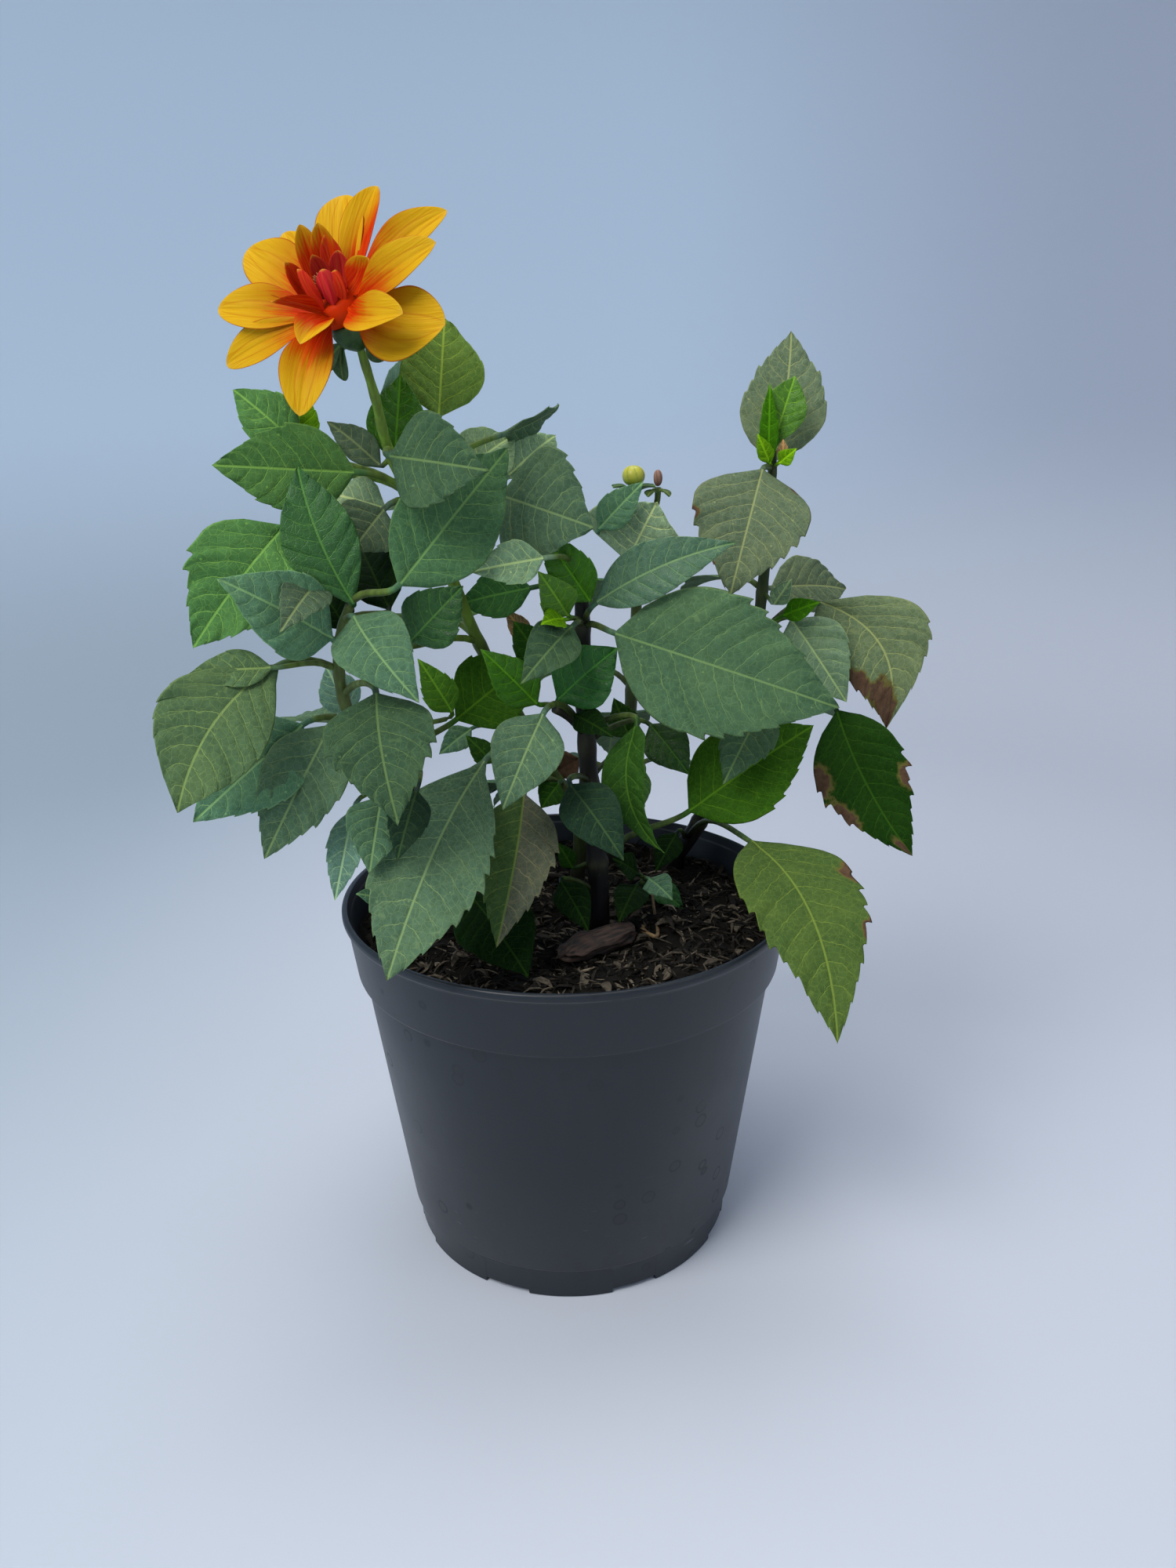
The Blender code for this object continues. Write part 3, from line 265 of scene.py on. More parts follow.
def object_place(finish):
    return add(finish.node_tree, "TexCoord", out="Object")


def at_point(finish, name, kind="Vector"):
    """The value that the surface's points have under that name."""
    return add(finish.node_tree, "Attribute", {"attribute_name": name}, out=kind)


def split(vector):
    """A vector's three numbers."""
    return [Value(output) for output in add(vector.tree, "SeparateXYZ", Vector=vector).output.node.outputs]


def rise(value, low, high):
    """0 below low and 1 above high, and smooth between them; low may be the larger."""
    return add(value.tree, "MapRange", {"interpolation_type": "SMOOTHSTEP"}, Value=value,
               From_Min=low, From_Max=high)


def blend(share, a, b, how="MIX"):
    """Colour a turned into colour b by share."""
    a, b = (side if isinstance(side, Value) else (*side, 1.0) for side in (a, b))
    tree = next(each.tree for each in (share, a, b) if isinstance(each, Value))
    return add(tree, "Mix", {"data_type": "RGBA", "blend_type": how}, 2, i0=share, i6=a, i7=b)


def over(base, *layers):
    """A colour with others laid over it, each by its own share."""
    for share, layer in layers:
        base = blend(share, base, layer)
    return base


def largest(first, *others):
    for other in others:
        first = first.calc("MAXIMUM", other)
    return first


def grain(place, scale, stretch=(1.0, 1.0, 1.0), detail=3.0):
    """Cloudy grain from 0 to 1, that many to the unit of place, drawn out by stretch."""
    drawn_out = add(place.tree, "Mapping", Vector=place, Scale=stretch)
    return add(place.tree, "TexNoise", Vector=drawn_out, Scale=scale, Detail=detail)


def cells(place, scale, feature="F1", out="Distance"):
    """Scattered points, that many to the unit of place: how far the nearest is, or the
    nearest one's colour, or how far the edge between two is."""
    return add(place.tree, "TexVoronoi", {"feature": feature}, out, Vector=place, Scale=scale)


def bump(height, strength, distance):
    return add(height.tree, "Bump", Height=height, Strength=strength, Distance=distance)


# Painted highlights, pale lines round the pot where its edges catch light: each one's height and half its
# breadth, m, and its strength
EDGE_HIGHLIGHT_LINES = ((0.12505, 0.00055, 1.0), (0.1502, 0.0004, 0.45), (0.0149, 0.0003, 0.5))


def pot_plastic():
    """Satin, nearly black plastic: faint upright flow streaks, dried water drops, fine
    scratches low down, and painted highlights, pale lines along the lip, the collar's edge and the foot."""
    finish = new_finish("pot_plastic", IOR=1.5, Specular_IOR_Level=0.4)
    place = object_place(finish)
    z = split(place)[2]
    streaks = grain(place, 1.0, (170.0, 170.0, 7.0))
    clouds = grain(place, 22.0)
    spot = cells(place, 95.0)
    few = rise(split(cells(place, 95.0, out="Color"))[0], 0.62, 0.66)
    drop = rise(spot, 0.34, 0.24) * rise(grain(place, 14.0), 0.46, 0.56) * few
    ring = drop * rise(spot, 0.2, 0.28)
    scratch = rise(grain(place, 1.0, (90.0, 90.0, 900.0), 2.0), 0.69, 0.74)
    scratch = scratch * rise(z, 0.075, 0.02) * rise(grain(place, 30.0), 0.5, 0.62)
    # Painted highlights: pale lines where the lip, the collar's edge and the foot catch light, broken up by
    # grain
    edge_highlight = largest(*(z.calc("COMPARE", middle, half) * strength for middle, half, strength in EDGE_HIGHLIGHT_LINES))
    edge_highlight = edge_highlight * rise(grain(place, 40.0), 0.25, 0.55)
    base = over(blend(streaks, (0.009, 0.012, 0.017), (0.013, 0.018, 0.024)),
                (clouds * 0.35, (0.007, 0.010, 0.015)),
                (drop * 0.35, (0.005, 0.007, 0.010)),
                (scratch * 0.55, (0.16, 0.17, 0.19)),
                (edge_highlight * 0.7, (0.19, 0.19, 0.19)))
    height = streaks * 0.5 + grain(place, 700.0)
    return coat(finish, Base_Color=base, Roughness=clouds * 0.16 + 0.31 + ring * 0.18,
                Normal=bump(height, 0.12, 0.0002))


def even_turns(count):
    """That many even turns round a circle, from 0."""
    return np.linspace(0.0, 2 * math.pi, count, endpoint=False)


notch_middles = np.radians(NOTCH_START_DEG - 90.0 + 360.0 / NOTCHES * np.arange(NOTCHES))
notch_sides = np.radians(np.array((-NOTCH_HALF_DEG, -NOTCH_HALF_DEG + NOTCH_CORNER_DEG,
                                   NOTCH_HALF_DEG - NOTCH_CORNER_DEG, NOTCH_HALF_DEG)))
pot_turns = np.concatenate([np.linspace(-math.pi, math.pi, POT_SIDES, endpoint=False),
                            (notch_middles[:, None] + notch_sides).ravel()])
pot_turns = np.unique(np.round((pot_turns + math.pi) % (2 * math.pi), 5))
points, faces = turned(POT_PROFILE, pot_turns)
from_notch = np.abs((pot_turns[:, None] - notch_middles + math.pi) % (2 * math.pi) - math.pi).min(1)
in_notch = from_notch < math.radians(NOTCH_HALF_DEG - NOTCH_CORNER_DEG / 2)
at_foot = (np.hypot(points[..., 0], points[..., 1]) > NOTCH_FROM_R) & (points[..., 2] < NOTCH_HIGH)
points[..., 2] = np.where(at_foot & in_notch, NOTCH_HIGH, points[..., 2])
pot = new_piece("nursery_pot", [{"points": points * MM, "faces": faces}], [pot_plastic()])
hole_profile = [(0.0, 0.0), (DRAIN_HOLE_R, 0.0), (DRAIN_HOLE_R, DRAIN_HOLE_HIGH), (0.0, DRAIN_HOLE_HIGH)]
hole_points, hole_faces = turned(hole_profile, even_turns(28))
places = even_turns(DRAIN_HOLES)
middles = DRAIN_RING_R * np.stack([np.cos(places), np.sin(places), 0.0 * places], -1)
holes = [{"points": (hole_points + middle) * MM, "faces": hole_faces} for middle in middles]
holes = new_piece("drain_holes", holes, [])
cut = pot.modifiers.new("drain_holes", "BOOLEAN")
cut.operation = "DIFFERENCE"
cut.solver = "EXACT"
cut.object = holes
drilled = bpy.data.meshes.new_from_object(pot.evaluated_get(bpy.context.evaluated_depsgraph_get()))
pot.modifiers.remove(cut)
pot.data = drilled
bpy.data.objects.remove(holes)
pot.data.shade_smooth()
pot.data.set_sharp_from_angle(angle=math.radians(SHARP_DEG))
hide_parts("pot")
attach(pot, "root")


# Potting mix
# Peat and shredded bark, damp and nearly black, that fills the pot to 13.5 mm under its
# rim. Its top is a loose layer of thin bark shreds and chips, some of them dry and tan.

SOIL_Z = 140.0
SHREDS = 3600
CHIPS = 420


def ripple(points, size, seed, waves=16):
    """Smooth unevenness about -1 to 1: the sum of sine waves of about that size that run
    in seeded directions, over the square root of their number."""
    picks = np.random.default_rng(seed)
    ways = picks.normal(size=(3, waves))
    ways *= 2 * math.pi / size * picks.uniform(0.6, 1.5, waves) / np.linalg.norm(ways, axis=0)
    return np.sin(points @ ways + picks.uniform(0.0, 6.3, waves)).sum(-1) / math.sqrt(waves)


def mix_height(x, y):
    """The mix's top, mm: broad humps, clods and fine crumbs."""
    place = np.stack([x, y, 0.0 * x], -1)
    humps, clods, crumbs = ripple(place, 45.0, 1), ripple(place, 11.0, 2), ripple(place, 3.6, 3)
    return SOIL_Z - 0.4 + 1.3 * humps + 0.7 * clods + 0.35 * crumbs


def bark_mix():
    """Damp peat and bark: each shred has its own shade, from black through red-brown to
    dry tan, with fibres along it."""
    finish = new_finish("potting_mix", Roughness=0.85, Specular_IOR_Level=0.15)
    ramp = add(finish.node_tree, "ValToRGB", Fac=split(at_point(finish, "shade"))[0])
    stops = ((0.0, (0.003, 0.003, 0.002)), (0.38, (0.011, 0.009, 0.007)), (0.68, (0.044, 0.036, 0.027)),
             (0.88, (0.14, 0.115, 0.082)), (1.0, (0.32, 0.26, 0.18)))
    elements = ramp.output.node.color_ramp.elements
    while len(elements) < len(stops):
        elements.new(0.5)
    for element, (position, shade) in zip(elements, stops):
        element.position = position
        element.color = (*shade, 1.0)
    fibres = grain(object_place(finish), 700.0, detail=5.0)
    base = blend(rise(fibres, 0.35, 0.7) * 0.6, ramp, (0.006, 0.005, 0.004))
    return coat(finish, Base_Color=base, Normal=bump(fibres, 0.7, 0.0006))


def slivers(count, length, width, thick, seed, shade_low, shade_high):
    """Flat shreds that lie about on the mix. Along each, in four rows, its width is a
    share of the widest that tapers to its ends, and it bends and tilts a little."""
    picks = np.random.default_rng(seed)
    radius = (inner_r(SOIL_Z) - 2.5) * np.sqrt(picks.uniform(0.0, 1.0, count))
    turn = picks.uniform(0.0, 2 * math.pi, count)
    x, y = radius * np.cos(turn), radius * np.sin(turn)
    yaw = picks.uniform(0.0, 2 * math.pi, count)
    tilt = picks.normal(0.0, 0.22, count)
    size = picks.uniform(*length, count)
    size = np.minimum(size, 2.0 * (inner_r(SOIL_Z) - 0.5 - radius) + 3.0)
    along = np.stack([np.cos(yaw) * np.cos(tilt), np.sin(yaw) * np.cos(tilt), np.sin(tilt)], -1)
    lean = picks.normal(0.0, 0.5, count)
    flat = np.stack([-np.sin(yaw), np.cos(yaw), 0.0 * yaw], -1)
    top = np.cross(along, flat)
    across = flat * np.cos(lean)[:, None] + top * np.sin(lean)[:, None]
    top = np.cross(along, across)
    middle = np.stack([x, y, mix_height(x, y) + picks.uniform(0.1, 1.5, count)], -1)
    rows = np.array((-0.5, -0.2, 0.2, 0.5))
    share = np.array((0.35, 1.0, 0.85, 0.25))
    bend = picks.normal(0.0, 0.16, count)
    sway = picks.normal(0.0, 0.12, count)
    line = (middle[:, None] + along[:, None] * (rows[None, :, None] * size[:, None, None])
            + top[:, None] * ((1.0 - 4.0 * rows ** 2)[None, :, None] * (bend * size)[:, None, None])
            + across[:, None] * ((1.0 - 4.0 * rows ** 2)[None, :, None] * (sway * size)[:, None, None]))
    corners = np.array(((-1, 1), (1, 1), (1, -1), (-1, -1))) * 0.5
    wide = (picks.uniform(*width, count)[:, None] * share)[:, :, None, None] * corners[None, None, :, :1]
    high = (picks.uniform(*thick, count)[:, None] * share)[:, :, None, None] * corners[None, None, :, 1:]
    points = line[:, :, None] + across[:, None, None] * wide + top[:, None, None] * high
    one = np.concatenate([grid_faces(4, 4, True), [(3, 2, 1, 0), (12, 13, 14, 15)]])
    faces = (np.arange(count) * 16)[:, None, None] + one
    shade = picks.uniform(shade_low, shade_high, count) ** 1.2
    return {"points": points * MM, "faces": faces.reshape(-1, 4),
            "values": {"shade": shade[:, None, None, None]}}


mix_rings = (inner_r(SOIL_Z) - 0.3) * np.linspace(1.0, 0.0, 64) ** 0.8
side_profile = [(0.0, 6.5), (64.9, 6.5), (66.6, 7.4), (inner_r(15.0) - 0.4, 15.0),
                (inner_r(123.0) - 0.5, 123.0), (inner_r(128.5) - 0.4, 128.5)]
points, faces = turned(side_profile + [(radius, SOIL_Z) for radius in mix_rings], even_turns(180))
tops = points[len(side_profile):]
tops[..., 2] = mix_height(tops[..., 0], tops[..., 1])
crumbs = 0.22 + 0.12 * ripple(points, 2.2, 4)
bed = {"points": points * MM, "faces": faces,
       "values": {"shade": np.clip(crumbs[..., None], 0.0, 0.6)}}
mix = new_piece("bark_mix", [bed,
                             slivers(SHREDS, (3.5, 11.0), (0.45, 1.3), (0.25, 0.6), 11, 0.05, 0.97),
                             slivers(CHIPS, (5.0, 13.0), (1.8, 3.6), (0.5, 1.2), 12, 0.05, 0.9)],
                [bark_mix()], 50)
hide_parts("soil")
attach(mix, "root")


# Bark chunk and fallen stalk
# One big piece of pine bark, split along its fibres, lies loose on the mix in front of
# the middle stem. Beside it hangs a dead leaf stalk, dry, tan and bent double.

BARK_MIDDLE = np.append(seen_at_level(763, 1215, SOIL_Z * MM)[:2] / MM, SOIL_Z + 5.2)
BARK_TURN = math.radians(36.0)
BARK_HALF = (19.0, 5.8, 3.9)
BARK_ROWS = 44
BARK_SIDES = 48
STALK_WAY = [(832, 1140, 4), (834, 1158, -3), (837, 1178, -10), (839, 1195, -18), (838, 1205, -24),
             (833, 1203, -24), (825, 1196, -21), (819, 1187, -17), (820, 1183, -15)]


def unit(v):
    return v / np.linalg.norm(v, axis=-1, keepdims=True)


def tube(line, radii, sides):
    """A closed round tube: about each point of the line, a ring of that radius, square to
    the line. Its ends are drawn in to a point."""
    line = np.concatenate([line[:1], line, line[-1:]])
    radii = np.concatenate([[0.0], radii, [0.0]])
    way = np.gradient(line, axis=0)
    way[0], way[-1] = line[2] - line[1], line[-2] - line[-3]
    way = unit(way)
    side = unit(np.cross(np.array((0.0, 1.0, 0.0)) + 0.0 * way, way))
    other = np.cross(way, side)
    turns = even_turns(sides)[None, :, None]
    ring = side[:, None] * np.cos(turns) + other[:, None] * np.sin(turns)
    return line[:, None] + ring * radii[:, None, None], grid_faces(len(line), sides, True)


def smooth_path(path, steps):
    """Points on a smooth curve through path, steps to each stretch. Between two points it
    is the cubic whose slope at each is half the way between its neighbours."""
    path = np.asarray(path)
    padded = np.concatenate([path[:1], path, path[-1:]])
    t = (np.arange(steps) / steps)[None, :, None]
    before, here, there, after = (padded[k:len(path) - 1 + k][:, None] for k in range(4))
    curve = 0.5 * (2 * here + (there - before) * t + (2 * before - 5 * here + 4 * there - after) * t ** 2
                   + (-before + 3 * here - 3 * there + after) * t ** 3)
    return np.concatenate([curve.reshape(-1, 3), path[-1:]])


def seen_path(way, steps):
    """The smooth path through places given as (pixel u, pixel v, depth mm)."""
    return smooth_path([seen_at(*place) for place in way], steps)


def dry_bark():
    """Red-brown bark with darker split lines along its grain."""
    finish = new_finish("bark", Roughness=0.8)
    place = object_place(finish)
    along = add(place.tree, "VectorRotate", {"rotation_type": "Z_AXIS"}, Vector=place, Angle=-BARK_TURN)
    fibres = grain(along, 1.0, (90.0, 700.0, 900.0), 4.0)
    base = over(blend(rise(fibres, 0.3, 0.65), (0.010, 0.007, 0.006), (0.075, 0.042, 0.028)),
                (rise(grain(place, 160.0), 0.5, 0.75), (0.016, 0.013, 0.011)))
    return coat(finish, Base_Color=base, Normal=bump(fibres, 0.9, 0.0009))


def dead_stalk_skin():
    """A dry tan skin with brown flecks."""
    finish = new_finish("dead_stalk", Roughness=0.6)
    flecks = grain(object_place(finish), 450.0)
    base = blend(rise(flecks, 0.4, 0.7), (0.27, 0.17, 0.07), (0.10, 0.055, 0.025))
    return coat(finish, Base_Color=base, Normal=bump(flecks, 0.4, 0.0003))


u = np.linspace(0.0, 1.0, BARK_ROWS)[:, None]
ring = even_turns(BARK_SIDES)[None, :]
bulk = (1.0 - np.abs(2 * u - 1) ** 3.2) ** 0.42
square = (np.abs(np.cos(ring)) ** 3 + np.abs(np.sin(ring)) ** 3) ** (-1 / 3)
splits = 1.0 + 0.10 * np.sin(5 * ring + 3.0 * u) + 0.05 * np.sin(11 * ring - 4.0 * u)
ends = 2 * u - 1 + 0.06 * np.sin(4 * ring + 1.0) * np.abs(2 * u - 1) ** 4
points = np.stack([ends * BARK_HALF[0], -np.sin(ring) * square * bulk * splits * BARK_HALF[1],
                   np.cos(ring) * square * bulk * splits * BARK_HALF[2]], -1)
points += 0.45 * ripple(points * np.array((0.25, 1.0, 1.0)), 3.0, 21)[..., None]
points[..., 2] -= 0.9 * (2 * u - 1) ** 2
cosine, sine = math.cos(BARK_TURN), math.sin(BARK_TURN)
points = points @ np.array(((cosine, sine, 0.0), (-sine, cosine, 0.0), (0.0, 0.0, 1.0))) + BARK_MIDDLE
faces = grid_faces(BARK_ROWS, BARK_SIDES, True)
bark = new_piece("bark_piece", [{"points": points * MM, "faces": faces}], [dry_bark()])
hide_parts("bark_chunk")
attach(bark, "root")

line = seen_path(STALK_WAY, 5)
line[:, 2] = np.maximum(line[:, 2], (SOIL_Z + 1.6) * MM)
points, faces = tube(line, np.linspace(0.55, 1.15, len(line)) * MM, 8)
fallen = new_piece("fallen_stalk", [{"points": points, "faces": faces}], [dead_stalk_skin()])
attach(fallen, "root")


# Stems and leaves
# Five stems and a young shoot stand in the mix, purple-black below and green above.
# Leaves grow from their joints on thin stalks: toothed, pointed blades with a pale midrib
# and side veins, darker above than below, a few of them with dry brown places.

STRAIGHT_FOOT = 7.0
HOLE_DEPTH = 26.0
STEM_SIDES = 16
STALK_R = 1.15 * MM
STALK_GREEN = (0.095, 0.150, 0.028)

# Each stem: where it stands in the mix, mm, its way up as (pixel u, pixel v, depth mm),
# its radius at the foot and at the top, mm, and its colour low down and high up
Stem = namedtuple("Stem", "foot way r_foot r_top low high")
STEMS = {
    "stem_main": Stem((13, -17), [(762, 1100, -15), (752, 1000, -12), (746, 900, -10),
                                  (743, 800, -8), (741, 715, -5)], 4.6, 2.6,
                      (0.005, 0.004, 0.005), (0.018, 0.018, 0.010)),
    "stem_bloom": Stem((4, 13), [(738, 1042, 8), (692, 968, 5), (612, 822, 0),
                                 (560, 700, -14), (500, 585, -28), (478, 505, -37),
                                 (457, 436, -42)], 3.4, 1.3,
                      (0.016, 0.013, 0.012), (0.145, 0.245, 0.028)),
    "stem_left": Stem((-26, 8), [(600, 1085, 0), (530, 1020, -18), (468, 955, -35),
                                 (438, 890, -45), (432, 825, -50), (446, 772, -50)], 3.4, 1.6,
                      (0.022, 0.022, 0.014), (0.105, 0.150, 0.035)),
    "stem_right": Stem((52, 52), [(892, 1048, 50), (925, 975, 46), (955, 880, 42),
                                  (972, 755, 38), (983, 640, 34), (986, 575, 34)], 4.2, 1.5,
                      (0.009, 0.006, 0.007), (0.035, 0.055, 0.016)),
    "stem_back": Stem((22, 62), [(795, 1000, 60), (806, 880, 58), (812, 760, 55),
                                 (809, 660, 51), (808, 622, 50)], 3.8, 1.4,
                      (0.016, 0.014, 0.012), (0.085, 0.125, 0.030)),
    "shoot_low": Stem((37, 14), [(826, 1138, 12), (820, 1121, 8)], 2.2, 1.4,
                      (0.030, 0.045, 0.016), (0.050, 0.110, 0.025)),
}

# Side shoots: the stem that each grows from, its way and its two radii, mm
Shoot = namedtuple("Shoot", "stem way r_start r_end")
SHOOTS = [
    Shoot("stem_main", [(748, 935, -11), (728, 915, -16), (708, 903, -20)], 2.4, 1.8),
    Shoot("stem_back", [(811, 715, 53), (828, 672, 52), (838, 640, 50), (839, 622, 49)], 1.5, 1.2),
]

# Each stem's leaves: where each blade starts and ends as (pixel u, pixel v, depth mm),
# and its width in mm. face: how far it turns from the sky, 0, to the viewer, 1.
# roll: its turn about its own midrib, degrees. arch and bow: how far its midrib bends
# up and to the side, as shares of its length. fold: how steeply its halves rise, degrees.
# full: the share of its length at which it is widest.
USUAL_FULL = 0.39
Leaf = namedtuple("Leaf", "name start tip width face roll arch bow fold full",
                  defaults=(0.8, 0, 0.08, 0.0, 8, USUAL_FULL))
LEAVES = {
    "stem_main": [
        ("L30", (692, 912, -44), (641, 1033, -66), 27, 0.8, 0, 0.1),
        ("L32", (716, 1125, -26), (751, 1188, -42), 15, 0.7, 0, 0.1),
        ("L33", (728, 1002, -36), (796, 1098, -60), 23, 0.8, 0, 0.12),
        ("L34", (812, 926, -30), (847, 1088, -44), 21, 0.9, 35, 0.1, 0.14, 14, 0.32),
        ("L78", (730, 1106, -16), (710, 1074, -20), 8),
        ("L38", (880, 1034, -12), (1038, 925, -2), 40, 0.8, 0, 0.06, 0, 6),
        ("L40", (785, 808, -22), (1071, 903, -36), 56, 0.95, 0, 0.05, 0, 6),
        ("L46", (762, 768, -16), (940, 692, -24), 22, 0.85, 0, 0.08, -0.04),
        ("L49", (752, 766, -18), (685, 672, -28), 18, 0.9, 0, 0.1, 0, 12),
        ("L50a", (724, 784, -24), (686, 728, -36), 15, 0.9, 0, 0.08, 0, 10),
        ("L50b", (718, 790, -28), (690, 796, -40), 10, 0.7, 0, 0.08, 0, 10),
        ("L51", (729, 800, -26), (664, 873, -50), 20, 0.85, 0, 0.12),
        ("L79", (694, 848, -20), (655, 792, -16), 15, 0.85),
        ("L52", (712, 892, -20), (788, 826, -17), 27, 0.85, 0, 0.1, 0, 10),
        ("L53", (684, 897, -26), (613, 828, -34), 18, 0.9, 0, 0.08, 0, 10),
        ("L55", (734, 913, -20), (782, 940, -36), 12, 0.8, 0, 0.1, 0, 12),
        ("L68", (738, 968, 14), (704, 988, 14), 13, 0.85),
        ("L57", (830, 925, -6), (879, 988, -18), 19, 0.85, 0, 0.1),
        ("L83", (802, 940, 8), (783, 890, 2), 14, 0.85),
        ("L64", (676, 750, -2), (586, 771, 6), 20, 0.8, 0, 0.06, 0, 6),
        ("L67", (672, 814, 2), (645, 778, 0), 9, 0.85),
        ("L65", (692, 712, -42), (601, 730, -50), 16, 0.85, 0, 0.06),
    ],
    "stem_bloom": [
        ("L1", (378, 566, -12), (297, 497, -8), 21),
        ("L1b", (384, 575, -8), (378, 492, 0), 15),
        ("L2", (452, 602, -34), (270, 593, -38), 31, 0.95, -4, 0.05, 0, 4),
        ("L3", (484, 594, -26), (417, 538, -22), 13, 0.9, 15),
        ("L4", (500, 582, -54), (623, 600, -77), 32, 0.95, 0, 0.06, 0, 5),
        ("L5", (503, 586, -22), (511, 478, -14), 22, 1.0, 0, 0.05),
        ("L6", (484, 530, -14), (513, 453, -2), 16, 1.0, 50),
        ("L7", (560, 530, -8), (567, 405, 8), 32, 1.0, 0, 0.05, 0, 6),
        ("L8", (645, 553, -2), (713, 516, 16), 22, 1.0, 72, 0.04),
        ("L9", (590, 605, -8), (655, 556, 8), 24, 0.7),
        ("L10", (648, 608, 0), (708, 556, 22), 20),
        ("L11", (640, 632, -18), (758, 673, -34), 45, 0.95, 0, 0.05, 0, 6),
        ("L21", (489, 650, -30), (448, 704, -36), 25, 0.9),
        ("L21b", (490, 648, -20), (424, 630, -10), 18, 0.9),
        ("L63", (524, 818, -24), (591, 747, -24), 24, 0.9),
        ("L28", (617, 972, -36), (493, 1252, -104), 43, 0.9, 0, 0.1, 0.03, 6, 0.53),
        ("L29", (668, 1014, -28), (633, 1209, -72), 31, 0.9, 0, 0.1, -0.02),
        ("L82", (712, 1000, -6), (690, 1031, -14), 13, 0.85),
        ("L72", (628, 972, -10), (594, 938, -14), 10, 0.9),
        ("L81", (600, 930, 4), (560, 962, -4), 11, 0.85),
    ],
    "stem_left": [
        ("L12", (510, 745, -64), (648, 571, -32), 36, 1.0, 0, 0.03),
        ("L14", (451, 770, -52), (379, 594, -50), 26, 1.0, 0, 0.05, -0.05, 6, 0.48),
        ("L15", (452, 788, -58), (535, 897, -88), 27, 0.8, 0, 0.12, 0.04),
        ("L16", (362, 672, -48), (246, 827, -66), 38, 0.8, 0, 0.14),
        ("L17", (422, 814, -52), (277, 738, -80), 30, 0.8, 0, 0.06),
        ("L18", (405, 745, -48), (357, 807, -88), 17),
        ("L19", (496, 775, -40), (458, 695, -12), 22, 0.9),
        ("L20", (442, 802, -38), (408, 750, -28), 15, 0.9),
        ("L22a", (345, 852, -64), (238, 862, -72), 14, 0.7, 0, 0.06),
        ("L22", (352, 850, -60), (226, 1037, -92), 38, 0.9, 0, 0.1, 0.1, 6, 0.5),
        ("L23", (385, 925, -48), (246, 1049, -74), 34, 0.9, 0, 0.08, 0, 6),
        ("L24", (420, 927, -48), (337, 1096, -72), 31, 0.9, 0, 0.08, 0, 6),
        ("L80", (446, 912, -36), (416, 850, -28), 16, 0.85),
        ("L25", (480, 886, -72), (508, 1052, -106), 37, 0.9, 0, 0.12, 0.03),
        ("L27", (450, 1035, -46), (427, 1149, -62), 14, 0.9),
        ("L26", (486, 1018, -68), (471, 1114, -92), 22, 0.9, 0, 0.1),
        ("L66", (531, 1010, -72), (506, 1098, -92), 15),
        ("L31", (600, 1142, -30), (674, 1247, -68), 32, 0.6, 0, 0.06, 0.0, 8, 0.45),
        ("L74", (490, 1148, -16), (454, 1140, -22), 9, 0.7),
        ("L70", (576, 907, -20), (533, 840, -30), 14, 0.9),
        ("L54", (583, 917, -14), (676, 842, -8), 32, 0.85, 0, 0.04, 0, 6, 0.45),
    ],
    "stem_right": [
        ("L37", (958, 1074, -20), (1068, 1332, -97), 46, 0.9, -15, 0.13, -0.07, 6),
        ("L35", (862, 1064, 34), (836, 1112, 18), 13),
        ("L39", (972, 903, 2), (922, 1001, -27), 24, 0.9),
        ("L41", (972, 600, 26), (931, 760, 0), 48, 0.95),
        ("L42", (985, 588, 40), (1009, 423, 56), 36, 1.0, 0, 0.04, 0.03, 6),
        ("L43", (984, 574, 32), (1014, 479, 30), 18, 1.0, 0, 0.06, 0, 10, 0.55),
        ("L43b", (980, 590, 31), (982, 488, 26), 8, 1.0),
        ("L44a", (982, 590, 31), (966, 553, 26), 7, 1.0),
        ("L44b", (994, 590, 30), (1016, 572, 24), 7, 1.0),
        ("L45", (998, 584, 30), (999, 560, 28), 5, 1.0),
        ("L58", (1010, 790, 36), (1080, 896, 16), 31, 0.9, 0, 0.1),
        ("L59", (1046, 768, 42), (1130, 930, 22), 45, 0.85, 0, 0.1, -0.22),
        ("L60", (985, 750, 56), (1078, 752, 74), 29, 0.7),
        ("L61", (1068, 908, 24), (1164, 1092, -4), 39, 0.9, 0, 0.1, 0.05),
        ("L62a", (988, 770, 30), (1010, 738, 22), 9, 1.0),
        ("L62b", (1000, 785, 30), (1046, 768, 24), 10),
    ],
    "stem_back": [
        ("L47", (800, 715, 40), (838, 640, 34), 48, 0.95, 0, 0.05, 0, 6),
        ("L48", (764, 674, 36), (821, 614, 30), 15, 0.9),
        ("L76", (822, 985, 34), (815, 1038, 24), 8),
    ],
    "shoot_low": [
        ("L36a", (812, 1114, 2), (781, 1095, -4), 13, 0.6),
        ("L36b", (829, 1122, 3), (858, 1148, -16), 13, 0.7),
        ("L36c", (812, 1130, -2), (789, 1177, -29), 15, 0.7),
        ("L36d", (832, 1130, 12), (872, 1160, 4), 12, 0.5),
    ],
}

